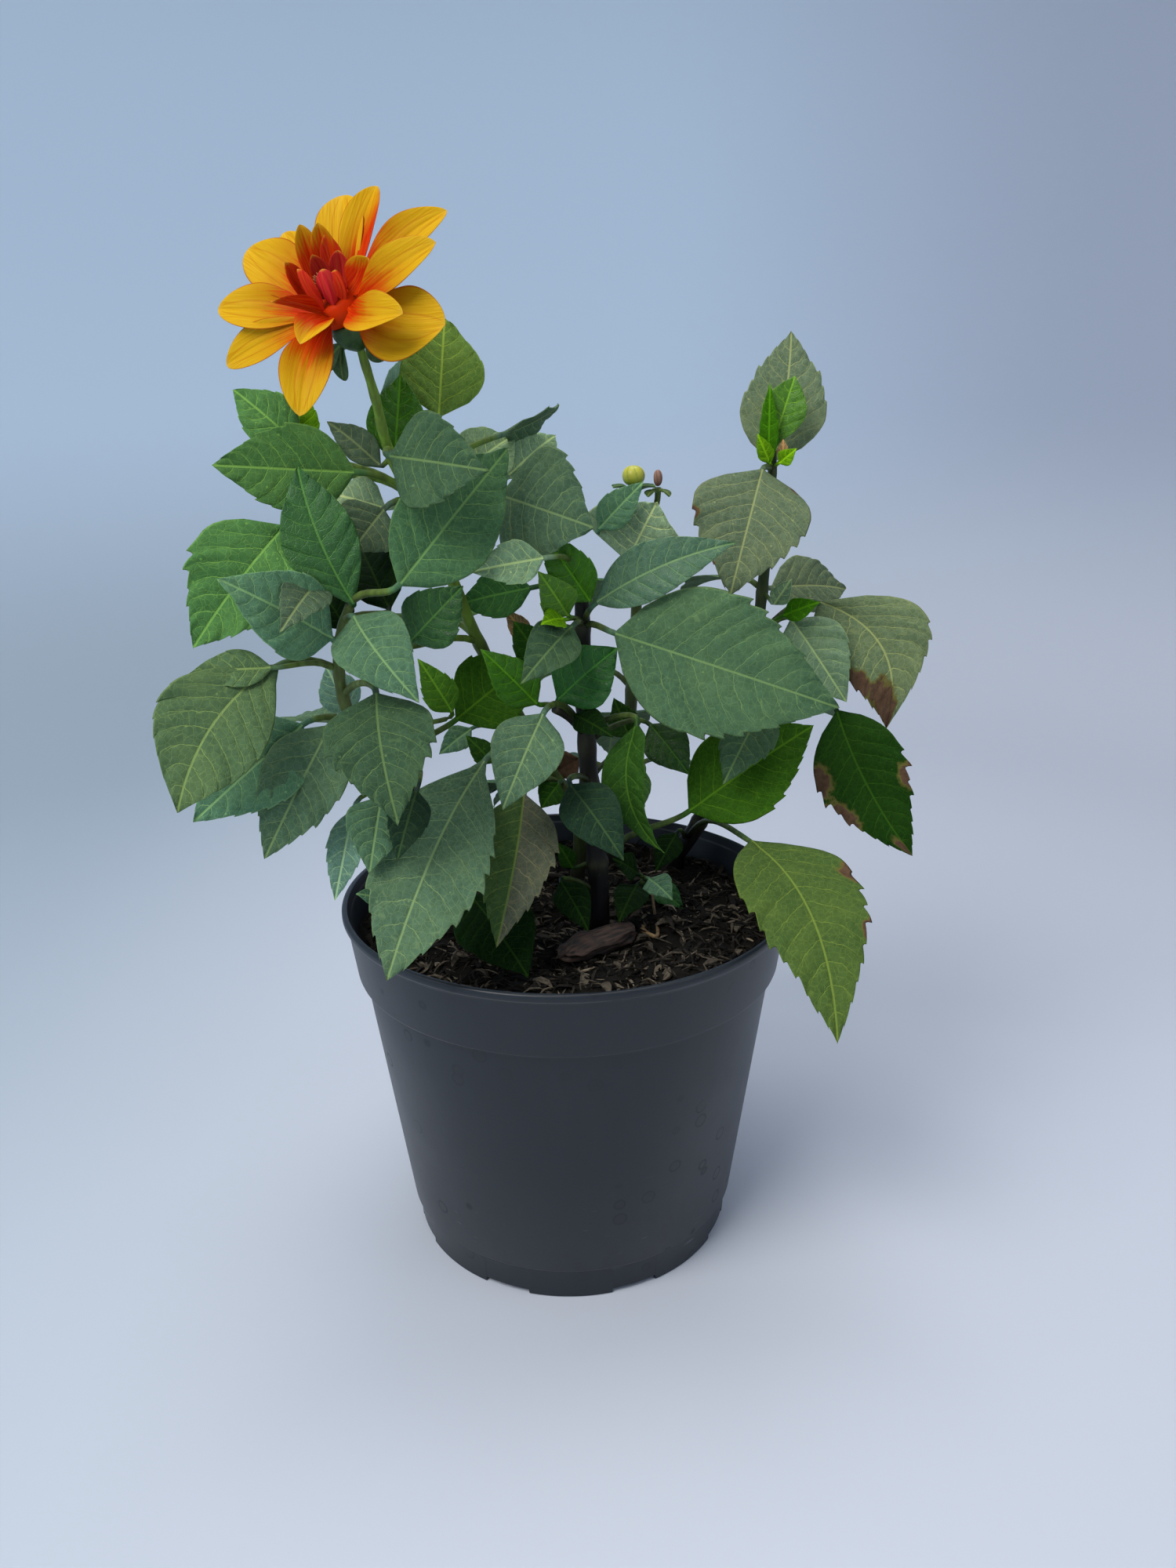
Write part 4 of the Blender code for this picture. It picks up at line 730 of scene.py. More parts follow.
# Leaves behind the plant: the stem each grows from, the height of its joint, mm, the way
# it points, degrees from +X towards +Y, the length of its stalk and of its blade, mm, its
# width, mm, and how steeply it hangs, degrees
Behind = namedtuple("Behind", "name stem z_mm turn stalk length width hang")
LEAVES_BEHIND = [
    Behind("B1", "stem_back", 178, 40, 20, 66, 40, 30),
    Behind("B2", "stem_back", 178, 150, 20, 62, 38, 30),
    Behind("B3", "stem_back", 204, 95, 18, 64, 38, 35),
    Behind("B4", "stem_back", 232, 12, 16, 52, 30, 20),
    Behind("B5", "stem_back", 232, 140, 20, 60, 36, 25),
    Behind("B7", "stem_back", 268, 110, 12, 48, 28, 25),
    Behind("B8", "stem_right", 172, 70, 16, 56, 34, 35),
    Behind("B9", "stem_right", 208, 28, 18, 58, 36, 20),
    Behind("B11", "stem_right", 270, 130, 12, 40, 24, 20),
    Behind("B12", "stem_bloom", 186, 130, 24, 58, 34, 25),
    Behind("B14", "stem_bloom", 250, 140, 22, 58, 34, 20),
    Behind("B15", "stem_bloom", 270, 108, 20, 54, 30, 20),
    Behind("B16", "stem_bloom", 300, 130, 16, 50, 28, 15),
    Behind("B17", "stem_left", 196, 112, 20, 50, 30, 30),
    Behind("B18", "stem_left", 228, 140, 20, 46, 28, 20),
]

# The leaves' shades, and the leaves that have each; the rest are plain. Some of them are painted light and
# shade: the darkest stand for the shade deep inside the plant, the palest makes shaded leaves look lit, and
# one leaf's pale tint is a painted highlight
LEAF_SHADES = {
    "plain": ((0.064, 0.160, 0.040), ""),
    "light": ((0.078, 0.205, 0.055), "L1 L16"),
    "blue": ((0.050, 0.122, 0.050), "L12"),
    "grey": ((0.080, 0.150, 0.082), "L11 L28 L30 L8 L24"),
    "sage": ((0.066, 0.142, 0.078), "L46 L26 L15"),
    "slate": ((0.046, 0.096, 0.047), "L25 L51 L39 L4"),
    "moss": ((0.060, 0.108, 0.024), "L37"),
    "steel": ((0.060, 0.125, 0.060), "L40"),
    "lime": ((0.105, 0.270, 0.004), "L1b L44a L44b L50b"),
    "fresh": ((0.064, 0.176, 0.014), "L43 L50a L70"),
    "leafy": ((0.122, 0.222, 0.038), "L7"),
    "bright": ((0.034, 0.138, 0.002), "L5 L43b L49 L53 L62b"),
    "deep": ((0.031, 0.098, 0.005), "L38 L54"),
    "forest": ((0.024, 0.078, 0.010), "L34 L72 L83"),
    # Partly painted shade: L78 and L79 take this very dark green because they stand in shade inside the
    # plant; the others have it as their own colour
    "bottle_and_shade": ((0.010, 0.045, 0.003), "L61 L82 L79 L78 L57"),
    # Painted shade: a very dark blue-green for leaves that stand in shade inside the plant
    "ink": ((0.013, 0.034, 0.018), "L66 L33"),
    "dark": ((0.031, 0.106, 0.027), "L63 L64 L14"),
    "dim": ((0.014, 0.082, 0.012), "L52 L36d"),
    # Painted shade: a near black green for leaves that stand in deep shade inside the plant
    "deep_shade": ((0.002, 0.014, 0.001), "L31 L32 L20 L35 L36a L36c L55 L19"),
    # Partly painted highlight: L36b takes this pale tint for the shine on its face; the others have it as
    # their own colour
    "mist_and_highlight": ((0.104, 0.232, 0.125), "L17 L23 L48 L81 L74 L36b"),
    "frost": ((0.165, 0.310, 0.220), "L27 L80 L6"),
    "pale": ((0.210, 0.340, 0.180), "L9 L10 L65 L62a"),
    # Painted light: paler than their own green, so that these leaves look lit where other leaves shade them
    "lit_chalk": ((0.300, 0.440, 0.250), "L47 L21b"),
    "silver": ((0.132, 0.226, 0.120), "L58"),
    "olive": ((0.088, 0.158, 0.066), "L22 L22a"),
    "shaded": ((0.044, 0.086, 0.024), "L29"),
    "dusty": ((0.116, 0.166, 0.092), "L42 L41 L60"),
    "ashen": ((0.138, 0.196, 0.095), "L59"),
    "brown": ((0.076, 0.125, 0.072), "L3 L18 L21"),
    "tan": ((0.280, 0.190, 0.090), "L45 L67"),
}

# Leaves with deep teeth, leaves with nearly none, and leaves with a shine
TOOTHED = "L37 L61 L28 L29 L25 L42 L41 L16 L24 L27 L39 L60"
SMOOTH_EDGED = "L22 L22a L15 L14 L12 L5 L6 L9 L17 L19 L30 L33 L46 L51 L31 L32 L52 L57 L74 L43 L7"
GLOSSY = "L14 L52 L63 L36b L36d L57 L46 L58 L5 L49 L50a L53 L43 L81"

# Leaves whose left half, seen from their stalk, has another shade
LEFT_SHADES = {"L29": (0.088, 0.100, 0.062)}

# Browned places: the leaf, the share along its blade, the share across it from its left
# edge at -1 to its right edge at 1, and the patch's reach in shares of its length
DRY_PATCHES = [
    ("L59", 0.86, 0.45, 0.24), ("L59", 0.62, 0.95, 0.16), ("L59", 0.99, 0.0, 0.2),
    ("L41", 0.5, 1.0, 0.06), ("L41", 0.12, -1.0, 0.06), ("L41", 0.8, 1.0, 0.04),
    ("L61", 0.35, 1.0, 0.12), ("L61", 0.6, 1.05, 0.13), ("L61", 0.55, -1.05, 0.10),
    ("L61", 0.95, 0.3, 0.12), ("L37", 0.35, -1.05, 0.07), ("L37", 0.62, -1.05, 0.05),
    ("L68", 0.5, 0.0, 1.2),
]


def blade_axes(blade):
    """A blade's length and its directions along, across and out of its upper face."""
    reach = blade.tip - blade.start
    length = np.linalg.norm(reach)
    along = reach / length
    out = unit(blade.look - along * (blade.look @ along))
    turn = math.radians(blade.roll)
    out = out * math.cos(turn) + np.cross(along, out) * math.sin(turn)
    return length, along, np.cross(along, out), out


# A blade: where it starts and ends, its width, the way its upper face looks, its turn
# about its own midrib, its bends up and to the side, and how steeply its sides rise
Blade = namedtuple("Blade", "start tip width look roll arch bow fold")

# The stops round a blade, from its left edge over its upper face to its right edge and
# back under it, close together at the midrib and at the edges
HALF_STOPS = np.array((0.0, 0.05, 0.13, 0.26, 0.41, 0.57, 0.73, 0.87, 0.96, 1.0))
TOP_STOPS = np.concatenate([-HALF_STOPS[:0:-1], HALF_STOPS])
RING_T = np.concatenate([TOP_STOPS, TOP_STOPS[-2:0:-1]])
RING_UP = np.concatenate([np.ones(len(TOP_STOPS)), -np.ones(len(TOP_STOPS) - 2)])


def stalk_line(root, start, lead, rows):
    """A stalk's middle line and its direction at each row: a cubic curve that leaves its
    joint, rises, and runs into its blade along lead."""
    t = np.linspace(0.0, 1.0, rows, endpoint=False)[:, None]
    reach = start - root
    size = np.linalg.norm(reach)
    pull = root + reach * 0.3 + Z * (0.22 * size)
    push = start - lead * (0.3 * size)
    left = 1 - t
    line = root * left ** 3 + pull * (3 * t * left ** 2) + push * (3 * t * t * left) + start * t ** 3
    way = (pull - root) * (3 * left ** 2) + (push - pull) * (6 * t * left) + (start - push) * (3 * t * t)
    return line, unit(way)


def blade_surface(blade, root, root_r, u, half_width, lift, thick, rib, shear=0.0, edge=1.0):
    """A round stalk that opens into a blade, as one closed surface.

    A point of row u at stop t stands at share s = u + shear of the blade's length, and
    at start + along·L·s + (out·arch + across·bow)·L·4s(1-s) + across·w·t·cos(fold)
    + out·w·|t|·sin(fold), where w is half the width times half_width(s) times edge. Out of
    that come the lift, the half thickness, thin at the rims, and below it the rib, which
    stands out round the midrib and dies away to the tip. Near its start the section is
    blended from the stalk's circle."""
    length, along, across, out = blade_axes(blade)
    t = RING_T[None, :]
    s = np.clip(u[:, None] + shear + 0.0 * t, 0.0, 1.0)
    tilt = math.radians(blade.fold)
    opened = np.clip(u[:, None] / 0.07, 0.0, 1.0)
    opened = opened * opened * (3 - 2 * opened)
    wide = blade.width / 2 * half_width(s) * edge
    wide = np.where(u[:, None] < 0.5, np.maximum(wide, root_r * (1 - opened)), wide)
    round_high = root_r * np.sqrt(1 - t ** 2)
    flat_high = thick / 2 * np.sqrt(1 - t ** 6)
    under = rib * (1 - 0.85 * s) * np.exp(-(t * wide / (1.1 * rib)) ** 2) * opened
    thinned = np.minimum(1.0, 12 * (1 - u[:, None]) + 0.15)
    high = RING_UP * (round_high * (1 - opened) + flat_high * opened * thinned)
    high = high - np.where(RING_UP < 0, under, 0.25 * under) + lift * opened
    bend = length * 4.0 * s * (1.0 - s)
    points = (blade.start + (length * s)[..., None] * along
              + bend[..., None] * (out * blade.arch + across * blade.bow)
              + (t * wide * math.cos(tilt))[..., None] * across
              + (np.abs(t) * wide * math.sin(tilt) * opened + high)[..., None] * out)
    lead = unit(along + out * (4.0 * blade.arch) + across * (4.0 * blade.bow))
    rows = int(np.clip(np.linalg.norm(blade.start - root) / (3.0 * MM), 4, 12))
    line, way = stalk_line(root, blade.start, lead, rows)
    side = unit(across - way * (way @ across)[:, None])
    top = np.cross(side, way)
    reach = np.linspace(1.25, 1.0, rows)[:, None, None] * root_r
    stalk = (line[:, None] + side[:, None] * (RING_T[None, :, None] * reach)
             + top[:, None] * ((RING_UP * np.sqrt(1 - RING_T ** 2))[None, :, None] * reach))
    stalk[0] = root
    surface = np.concatenate([stalk, points])
    wide = np.concatenate([np.full((rows, len(RING_T)), root_r), wide])
    s = np.concatenate([np.linspace(-0.3, 0.0, rows)[:, None] + 0.0 * t, s])
    return surface, grid_faces(len(surface), len(RING_T), True), s, wide


def upper_or_under(faces):
    """0 for each face of a blade's upper side and 1 for each of its underside."""
    return np.where(np.arange(len(faces)) % len(RING_T) < len(TOP_STOPS) - 1, 0, 1)


def laid_flat(blade, s, wide, third):
    """Each point's place on the blade laid flat, mm, and a third number for all."""
    length = np.linalg.norm(blade.tip - blade.start)
    return np.stack([s * length / MM, RING_T * wide / MM, np.full(s.shape, third)], -1)


def name_number(name):
    """A whole number that goes with a name: the sum of its letters' numbers."""
    return sum(map(ord, name))


def leaf_half_width(s, full):
    """A leaf's half width: the sine of half a turn times a power of s, which is round at
    the base, widest at the share full of its length, and pointed."""
    return np.sin(math.pi * np.clip(s, 0.0, 1.0) ** (math.log(0.5) / math.log(full)))


TOOTH_STOPS = np.array((0.0, 0.17, 0.34, 0.5, 0.64, 0.75, 0.8, 0.9))
TOOTH_RISE = np.array((0.12, 0.36, 0.58, 0.77, 0.92, 1.0, 0.42, 0.06))


def leaf_part(name, blade, full, root, root_r, tint, stem_tint, gloss):
    """A leaf with its stalk. Its edge swells towards each side vein's end and falls back
    behind it, its rows slant forward as the veins do, and it bulges between them."""
    picks = np.random.default_rng(name_number(name))
    length = np.linalg.norm(blade.tip - blade.start)
    teeth = int(np.clip(round(2.6 + length / (9.2 * MM)), 4, 11))
    u = np.append(((np.arange(teeth)[:, None] + TOOTH_STOPS) / teeth).ravel(), 1.0)
    u[0] = 0.0
    tooth = np.append(np.tile(TOOTH_RISE, teeth), 0.0)[:, None]
    spread = np.append(np.repeat(picks.uniform(0.35, 1.3, teeth), len(TOOTH_STOPS)), 0.0)[:, None]
    span = np.clip((u - 0.10) / 0.14, 0.0, 1.0) * np.clip((1.0 - u) / 0.07, 0.0, 1.0)
    t = RING_T[None, :]
    away = np.abs(t)
    slant = min(0.3, 0.8 * blade.width / 2 / length)
    shear = slant * away ** 1.15 * (1 - np.exp(-u[:, None] / 0.05)) * (1 - u[:, None] ** 2)
    shear = shear + 0.2 / teeth * (tooth * spread * span[:, None]) * away ** 5
    size = 0.09 if name in TOOTHED.split() else 0.02 if name in SMOOTH_EDGED.split() else 0.055
    edge = 1.0 + ((1.5 * size * tooth * spread - 0.9 * size) * span[:, None]) * away ** 3
    turns = teeth * u[:, None]
    between = np.sin(math.pi * np.mod(turns - 0.75, 1.0))
    pucker = between * 4 * away * (1 - 0.75 * away) * 0.40 * MM * min(1.0, blade.width / (25 * MM))
    phase = picks.uniform(0.0, 6.3, 2)
    sway = np.sin(turns * 1.7 + phase[0] + 1.3 * np.sign(t)) + 0.6 * np.sin(turns * 3.1 + phase[1])
    sway = sway * 0.022 * blade.width * away ** 2.2 * np.clip(u[:, None] / 0.15, 0.0, 1.0)
    points, faces, s, wide = blade_surface(blade, root, root_r, u, lambda s: leaf_half_width(s, full),
                                           pucker + sway, 0.5 * MM, 1.15 * MM, shear, edge)
    rows = len(points) - len(u)
    grid = np.zeros(points.shape)
    grid[..., 0] = np.concatenate([np.zeros(rows), teeth * u])[:, None]
    grid[..., 1] = RING_T
    grid[..., 2] = length / MM / teeth
    mm = laid_flat(blade, s, wide, picks.uniform(0.0, 90.0))
    stalk_low = np.clip(-s / 0.3, 0.0, 1.0)[..., None] ** 0.8
    stalk_tint = np.array(STALK_GREEN) * (1 - stalk_low) + stem_tint * stalk_low
    half_tint = np.where((RING_T < 0.0)[None, :, None], LEFT_SHADES.get(name, tint), tint)
    tints = np.where((s < 0.0)[..., None], stalk_tint, half_tint * picks.uniform(0.92, 1.08))
    dry = np.zeros(s.shape)
    for leaf, where, side, reach in DRY_PATCHES:
        if leaf == name:
            off = np.hypot(s - where, (RING_T - side) * blade.width / 2 / length)
            dry = np.maximum(dry, np.clip(1.25 - off / reach, 0.0, 1.0))
    state = np.stack([np.full(s.shape, gloss), dry, 0.0 * s], -1)
    finish = np.where(np.arange(len(faces)) < rows * len(RING_T), 2, upper_or_under(faces))
    return {"points": points, "faces": faces, "finish": finish,
            "values": {"leaf_grid": grid, "leaf_mm": mm, "leaf_tint": tints, "leaf_state": state}}


def times_colour(tint, by):
    return blend(1.0, tint, by, "MULTIPLY")


def leaf_face(name, under):
    """A leaf's skin. On the upper face the midrib, the side veins and their fine net are
    thin, pale and sunken, and the green between them is mottled and a little dusty. On the
    underside they stand out and all is paler. Dry places are brown and wrinkled."""
    finish = new_finish(name, IOR=1.4)
    veins_on, share_across, vein_gap = split(at_point(finish, "leaf_grid"))
    mm = at_point(finish, "leaf_mm")
    tint = at_point(finish, "leaf_tint", "Color")
    gloss, dryness = split(at_point(finish, "leaf_state"))[:2]
    away = abs(share_across)
    order = veins_on + 0.25 + (grain(mm, 0.22) - 0.5) * 0.42
    fork = order - (away - 0.42).calc("MAXIMUM", 0.0) * 0.62
    midrib = rise(abs(split(mm)[1]), 0.62, 0.22)
    side_vein = rise(order.calc("PINGPONG", 0.5) * vein_gap, 0.26, 0.06) * rise(away, 1.15, 0.35)
    fork_vein = rise(fork.calc("PINGPONG", 0.5) * vein_gap, 0.19, 0.04) * rise(away, 1.1, 0.5)
    veins = largest(midrib, side_vein, fork_vein * 0.7)
    net = rise(cells(mm, 0.42, "DISTANCE_TO_EDGE"), 0.07, 0.0)
    fine = rise(cells(mm, 1.5, "DISTANCE_TO_EDGE"), 0.0, 0.2)
    mottle = grain(mm, 0.5, detail=5.0)
    pale = blend(1.0, times_colour(tint, (3.0, 2.3, 1.7)), (0.014, 0.022, 0.004), "ADD")
    if under:
        base = over(tint, (0.45, (0.15, 0.22, 0.12)), (net * 0.3, pale))
    else:
        base = blend(rise(mottle, 0.25, 0.75), times_colour(tint, (0.80, 0.82, 0.80)),
                     times_colour(tint, (1.16, 1.14, 1.18)))
        base = over(base, (rise(grain(mm, 0.05), 0.4, 0.7) * 0.14, pale), (net * 0.30, pale))
    dry = dryness + (grain(mm, 0.3) - 0.5) * 0.7
    dead = rise(dry, 0.42, 0.56)
    base = over(base, (veins * 0.8, pale),
                (rise(away, 0.955, 0.995) * 0.4, pale),
                (rise(cells(mm, 0.16), 0.09, 0.05) * 0.6, pale),
                (rise(dry, 0.22, 0.46), (0.14, 0.12, 0.03)),
                (dead, blend(grain(mm, 0.35), (0.045, 0.022, 0.014), (0.17, 0.10, 0.055))))
    rough = gloss * -0.26 + (0.62 if under else 0.56) + (mottle - 0.5) * 0.2
    height = (veins + net * 0.4) * (1.0 if under else -1.0) + (mottle * 0.5 + fine * 0.25)
    height = height + dead * grain(mm, 0.6) * 2.0
    return coat(finish, Base_Color=base, Roughness=rough, Specular_IOR_Level=gloss * 0.26 + 0.08,
                Normal=bump(height, 0.55, 0.0004))


def stem_skin():
    """A stem's smooth skin: its own colour in faint lengthwise streaks, with small pale
    breathing pores."""
    finish = new_finish("stem_skin", Roughness=0.45, Specular_IOR_Level=0.18)
    tint = at_point(finish, "leaf_tint", "Color")
    place = object_place(finish)
    streaks = grain(place, 1.0, (420.0, 420.0, 45.0))
    base = blend(rise(streaks, 0.3, 0.7), times_colour(tint, (0.72, 0.68, 0.72)),
                 times_colour(tint, (1.3, 1.34, 1.28)))
    base = blend(rise(cells(place, 420.0), 0.16, 0.08) * 0.10, base, (0.20, 0.20, 0.10))
    return coat(finish, Base_Color=base, Normal=bump(streaks, 0.25, 0.0003))


def nearest_on(joints, place, rise_share=0.35):
    """The joint that a stalk to place leaves from: about as far below it as rise_share
    times its distance out."""
    flat = np.hypot(place[0] - joints[:, 0], place[1] - joints[:, 1])
    return joints[np.argmin(np.abs(place[2] - joints[:, 2] - rise_share * flat) + 0.15 * flat)]


def stem_colour(stem, z):
    """A stem's colour at height z, which goes from its low to its high one over 150 mm."""
    share = np.asarray(np.clip((z / MM - SOIL_Z - 10.0) / 150.0, 0.0, 1.0))[..., None]
    return np.array(stem.low) + (np.array(stem.high) - np.array(stem.low)) * share


def plain_part(points, faces, tint):
    """A smooth green part in the stem's own skin."""
    return {"points": points, "faces": faces, "finish": 2,
            "values": {"leaf_grid": (0.0, 0.0, 0.0), "leaf_mm": points / MM, "leaf_tint": tint,
                       "leaf_state": (0.4, 0.0, 0.0)}}


def stem_part(stem, line, r_start, r_end, joints):
    """A stem's tube. It swells where leaves join it, with a paler ring at each joint."""
    share = np.linspace(0.0, 1.0, len(line))
    off = np.linalg.norm(line[:, None] - joints[None], axis=-1).min(1)
    near = np.exp(-(off / (2.6 * MM)) ** 2)
    radii = (r_start + (r_end - r_start) * share) * (1.0 + 0.16 * near) * MM
    points, faces = tube(line, radii, STEM_SIDES)
    centre = np.concatenate([line[:1], line, line[-1:]])
    near = np.concatenate([near[:1], near, near[-1:]])[:, None, None]
    tints = stem_colour(stem, centre[:, 2])[:, None]
    tints = tints * (1 - 0.3 * near) + np.array((0.08, 0.08, 0.035)) * 0.3 * near
    return plain_part(points, faces, tints)


def leaf_of(row, joints, stem):
    """One leaf of the photograph, from its row in LEAVES."""
    start, tip = seen_at(*row.start), seen_at(*row.tip)
    look = unit(EYE - (start + tip) / 2) * row.face + Z * (1.0 - row.face)
    blade = Blade(start, tip, row.width * MM, look, row.roll, row.arch, row.bow, row.fold)
    shade = [tint for tint, names in LEAF_SHADES.values() if row.name in names.split()]
    tint = np.array(shade[0] if shade else LEAF_SHADES["plain"][0])
    root = nearest_on(joints, start)
    return leaf_part(row.name, blade, row.full, root, STALK_R * min(1.0, 0.5 + row.width / 50), tint,
                     stem_colour(stem, root[2]), float(row.name in GLOSSY.split()))


def leaf_behind(row, joints, stem):
    """One leaf at the back, which hangs from a rising stalk."""
    joint = joints[np.argmin(np.abs(joints[:, 2] - row.z_mm * MM))]
    turn, hang = math.radians(row.turn), math.radians(row.hang)
    out = np.array((math.cos(turn), math.sin(turn), 0.0))
    start = joint + (out + Z * 0.4) * (row.stalk * MM)
    tip = start + (out * math.cos(hang) - Z * math.sin(hang)) * (row.length * MM)
    blade = Blade(start, tip, row.width * MM, Z, 0.0, 0.1, 0.0, 8.0)
    shades = list(LEAF_SHADES.values())
    tint = np.array(shades[name_number(row.name) % 7][0])
    return leaf_part(row.name, blade, USUAL_FULL, joint, STALK_R, tint, stem_colour(stem, joint[2]), 0.0)


def stem_lines(name):
    """A stem's middle line, fine, and the joints that its leaves may grow from."""
    stem = STEMS[name]
    foot = np.array((*stem.foot, 0.0)) * MM
    low = foot + Z * ((SOIL_Z - HOLE_DEPTH) * MM)
    way = [foot + Z * ((SOIL_Z + STRAIGHT_FOOT) * MM)] + [seen_at(*place) for place in stem.way]
    line = np.concatenate([[low], smooth_path(way, 9)])
    return line, smooth_path(way, 2)


def leafy_parts(name):
    """A stem with its side shoots and all its leaves."""
    stem = STEMS[name]
    line, joints = stem_lines(name)
    own = joints
    parts = [stem_part(stem, line, stem.r_foot, stem.r_top, own[2:-1])]
    for shoot in (shoot for shoot in SHOOTS if shoot.stem == name):
        stops = seen_path(shoot.way, 2)
        joints = np.concatenate([joints, stops])
        parts.append(stem_part(stem, seen_path(shoot.way, 6), shoot.r_start, shoot.r_end, stops[-1:]))
    parts += [leaf_of(Leaf(*row), joints, stem) for row in LEAVES[name]]
    parts += [leaf_behind(row, own, stem) for row in LEAVES_BEHIND if row.stem == name]
    return parts


green_finishes = [leaf_face("leaf_upper", False), leaf_face("leaf_under", True), stem_skin()]
plant = {name: leafy_parts(name) for name in STEMS}


# Bloom
# A half-open double bloom, about 90 mm across, leans left and to the front on its stalk.
# Its ray petals are yellow with scarlet bases, the inner ones scarlet to pink, and they
# stand in rings on a green cup round a disc of dark red, still closed florets.

BLOOM_AXIS = unit(np.array((-0.42, -0.38, 0.826)))
BLOOM_FOOT = seen_at(455, 430, -42)
CUP_PROFILE = [(0.0, -4.0), (2.2, -3.9), (3.1, -3.5), (4.8, -1.8), (6.0, -0.2), (6.7, 1.6), (6.9, 3.4),
               (6.8, 4.8), (6.2, 6.0), (0.0, 6.0)]
CORE_PROFILE = [(0.0, 6.4), (6.0, 6.4), (6.9, 7.6), (7.2, 10.0), (6.8, 12.6), (5.8, 13.8), (0.0, 14.2)]
DISC_PROFILE = [(0.0, 14.4), (2.1, 14.4), (2.4, 16.0), (2.4, 19.0), (1.7, 21.2), (0.0, 22.0)]
DISC_FLORETS = 34
FLORET_ROWS = 9
FLORET_SIDES = 8
GOLDEN_TURN = 2.39996

# Each petal: the tip's pixel and its height above the cup along the bloom's axis, mm, the
# width, mm, how far it bends up and to the side, as shares of its length, how steeply its
# sides rise, degrees, how red and how pink it is, for an inner one how far its base
# stands from the axis, mm, towards the viewer and to the viewer's right, and how much
# redder its right edge is than its middle
Petal = namedtuple("Petal", "name tip high width arch bow fold red pink base side",
                   defaults=(0.0, 0.0, None, 0.0))
PETALS = [
    Petal("P1", (438, 249), 31, 18, 0.08, 0.0, 14, 0.02, 0),
    Petal("P2", (480, 237), 30, 14, 0.05, -0.03, 28, 0.32, 0, side=0.4),
    Petal("P3", (570, 268), 18, 14, 0.08, -0.05, 16, 0.2, 0, side=-0.12),
    Petal("P4", (556, 309), 18, 15, 0.12, 0.04, 16, 0.22, 0, side=0.12),
    Petal("P5", (568, 414), -2, 25, 0.05, 0.11, 8, 0.1, 0),
    Petal("P6", (514, 400), 9, 15, 0.10, 0.1, 18, 0.24, 0),
    Petal("P7", (382, 531), -3, 17, 0.12, 0.03, 12, 0.3, 0),
    Petal("P8", (383, 439), 14, 12, 0.12, 0.0, 22, 0.42, 0, side=0.25),
    Petal("P9", (289, 466), 10, 14, 0.12, -0.03, 14, 0.08, 0, side=-0.08),
    Petal("P10", (278, 394), 25, 17, 0.05, 0.0, 14, 0.2, 0, side=0.1),
    Petal("P11", (316, 318), 33, 20, 0.06, 0.0, 12, 0.26, 0, side=0.1),
    Petal("P11b", (362, 297), 30, 12, 0.06, 0.0, 14, 0.2, 0),
    Petal("P12", (382, 286), 36, 9, -0.06, 0.0, 18, 0.6, 0, (-5.0, -2.5)),
    Petal("P13", (405, 284), 34, 9, -0.06, 0.0, 18, 0.66, 0, (-5.5, 0.5)),
    Petal("P14", (416, 298), 30, 8, -0.06, 0.0, 20, 0.85, 0.2, (-5.0, 3.0)),
    Petal("P15", (398, 325), 28, 7, -0.08, 0.0, 24, 0.85, 0.5, (-4.0, 0.5)),
    Petal("P16", (470, 329), 20, 13, -0.10, 0.0, 24, 0.7, 0, (2.0, 5.0), side=0.2),
    Petal("P17", (411, 343), 24.5, 8, -0.12, 0.0, 30, 1.0, 0.8, (4.6, -1.0)),
    Petal("P18", (427, 344), 22, 9, -0.12, 0.0, 30, 1.0, 0.2, (4.6, 2.6)),
    Petal("P19", (363, 335), 31, 8, -0.08, 0.0, 24, 0.85, 0.1, (0.5, -5.5)),
    Petal("P20", (379, 343), 28, 8, -0.08, 0.0, 24, 1.0, 0.3, (3.4, -4.6)),
    Petal("P21", (347, 385), 26, 11, 0.05, 0.0, 18, 0.85, 0, (4.6, -5.0)),
    Petal("P22", (431, 319), 25, 8, -0.08, 0.0, 24, 0.9, 0.6, (-3.5, 3.6)),
]

# The green bracts under the bloom: two that hang in view, as the tip's pixel and its
# height along the axis, mm, and the rest, as turns about the axis in degrees
BRACTS_SEEN = [((439, 485), -12), ((489, 461), -9)]
BRACTS_UNSEEN = (60, 105, 150, 195, 240)
BRACT_GREEN = (0.035, 0.075, 0.025)


def bloom_point(high_mm, radial_mm=np.zeros(3)):
    """The point that stands high_mm above the cup's foot along the bloom's axis."""
    return BLOOM_FOOT + (BLOOM_AXIS * high_mm + radial_mm) * MM


def seen_at_height(pixel, high_mm):
    """The point seen at a pixel that stands high_mm above the cup's foot."""
    line = sight_line(*pixel)
    return EYE + line * (((bloom_point(high_mm) - EYE) @ BLOOM_AXIS) / (line @ BLOOM_AXIS))


def from_axis(place):
    """How far and which way a place stands out from the bloom's axis."""
    reach = place - BLOOM_FOOT
    return reach - BLOOM_AXIS * (reach @ BLOOM_AXIS)


near = unit(from_axis(EYE))
aside = np.cross(BLOOM_AXIS, near)


def on_bloom(profile, sides):
    """A profile of (radius, height) in mm carried round the bloom's axis."""
    points, faces = turned(profile, even_turns(sides))
    side = unit(np.cross(BLOOM_AXIS, Z))
    other = np.cross(BLOOM_AXIS, side)
    points = points[..., :1] * side + points[..., 1:2] * other + points[..., 2:] * BLOOM_AXIS
    return BLOOM_FOOT + points * MM, faces


def petal_half_width(s):
    """A petal's half width: the 0.64th power of the sine of half a turn times the 1.35th
    power of s, which is narrow at the base, widest past the middle and round-ended."""
    return np.sin(math.pi * np.clip(s, 0.0, 1.0) ** 1.35) ** 0.64


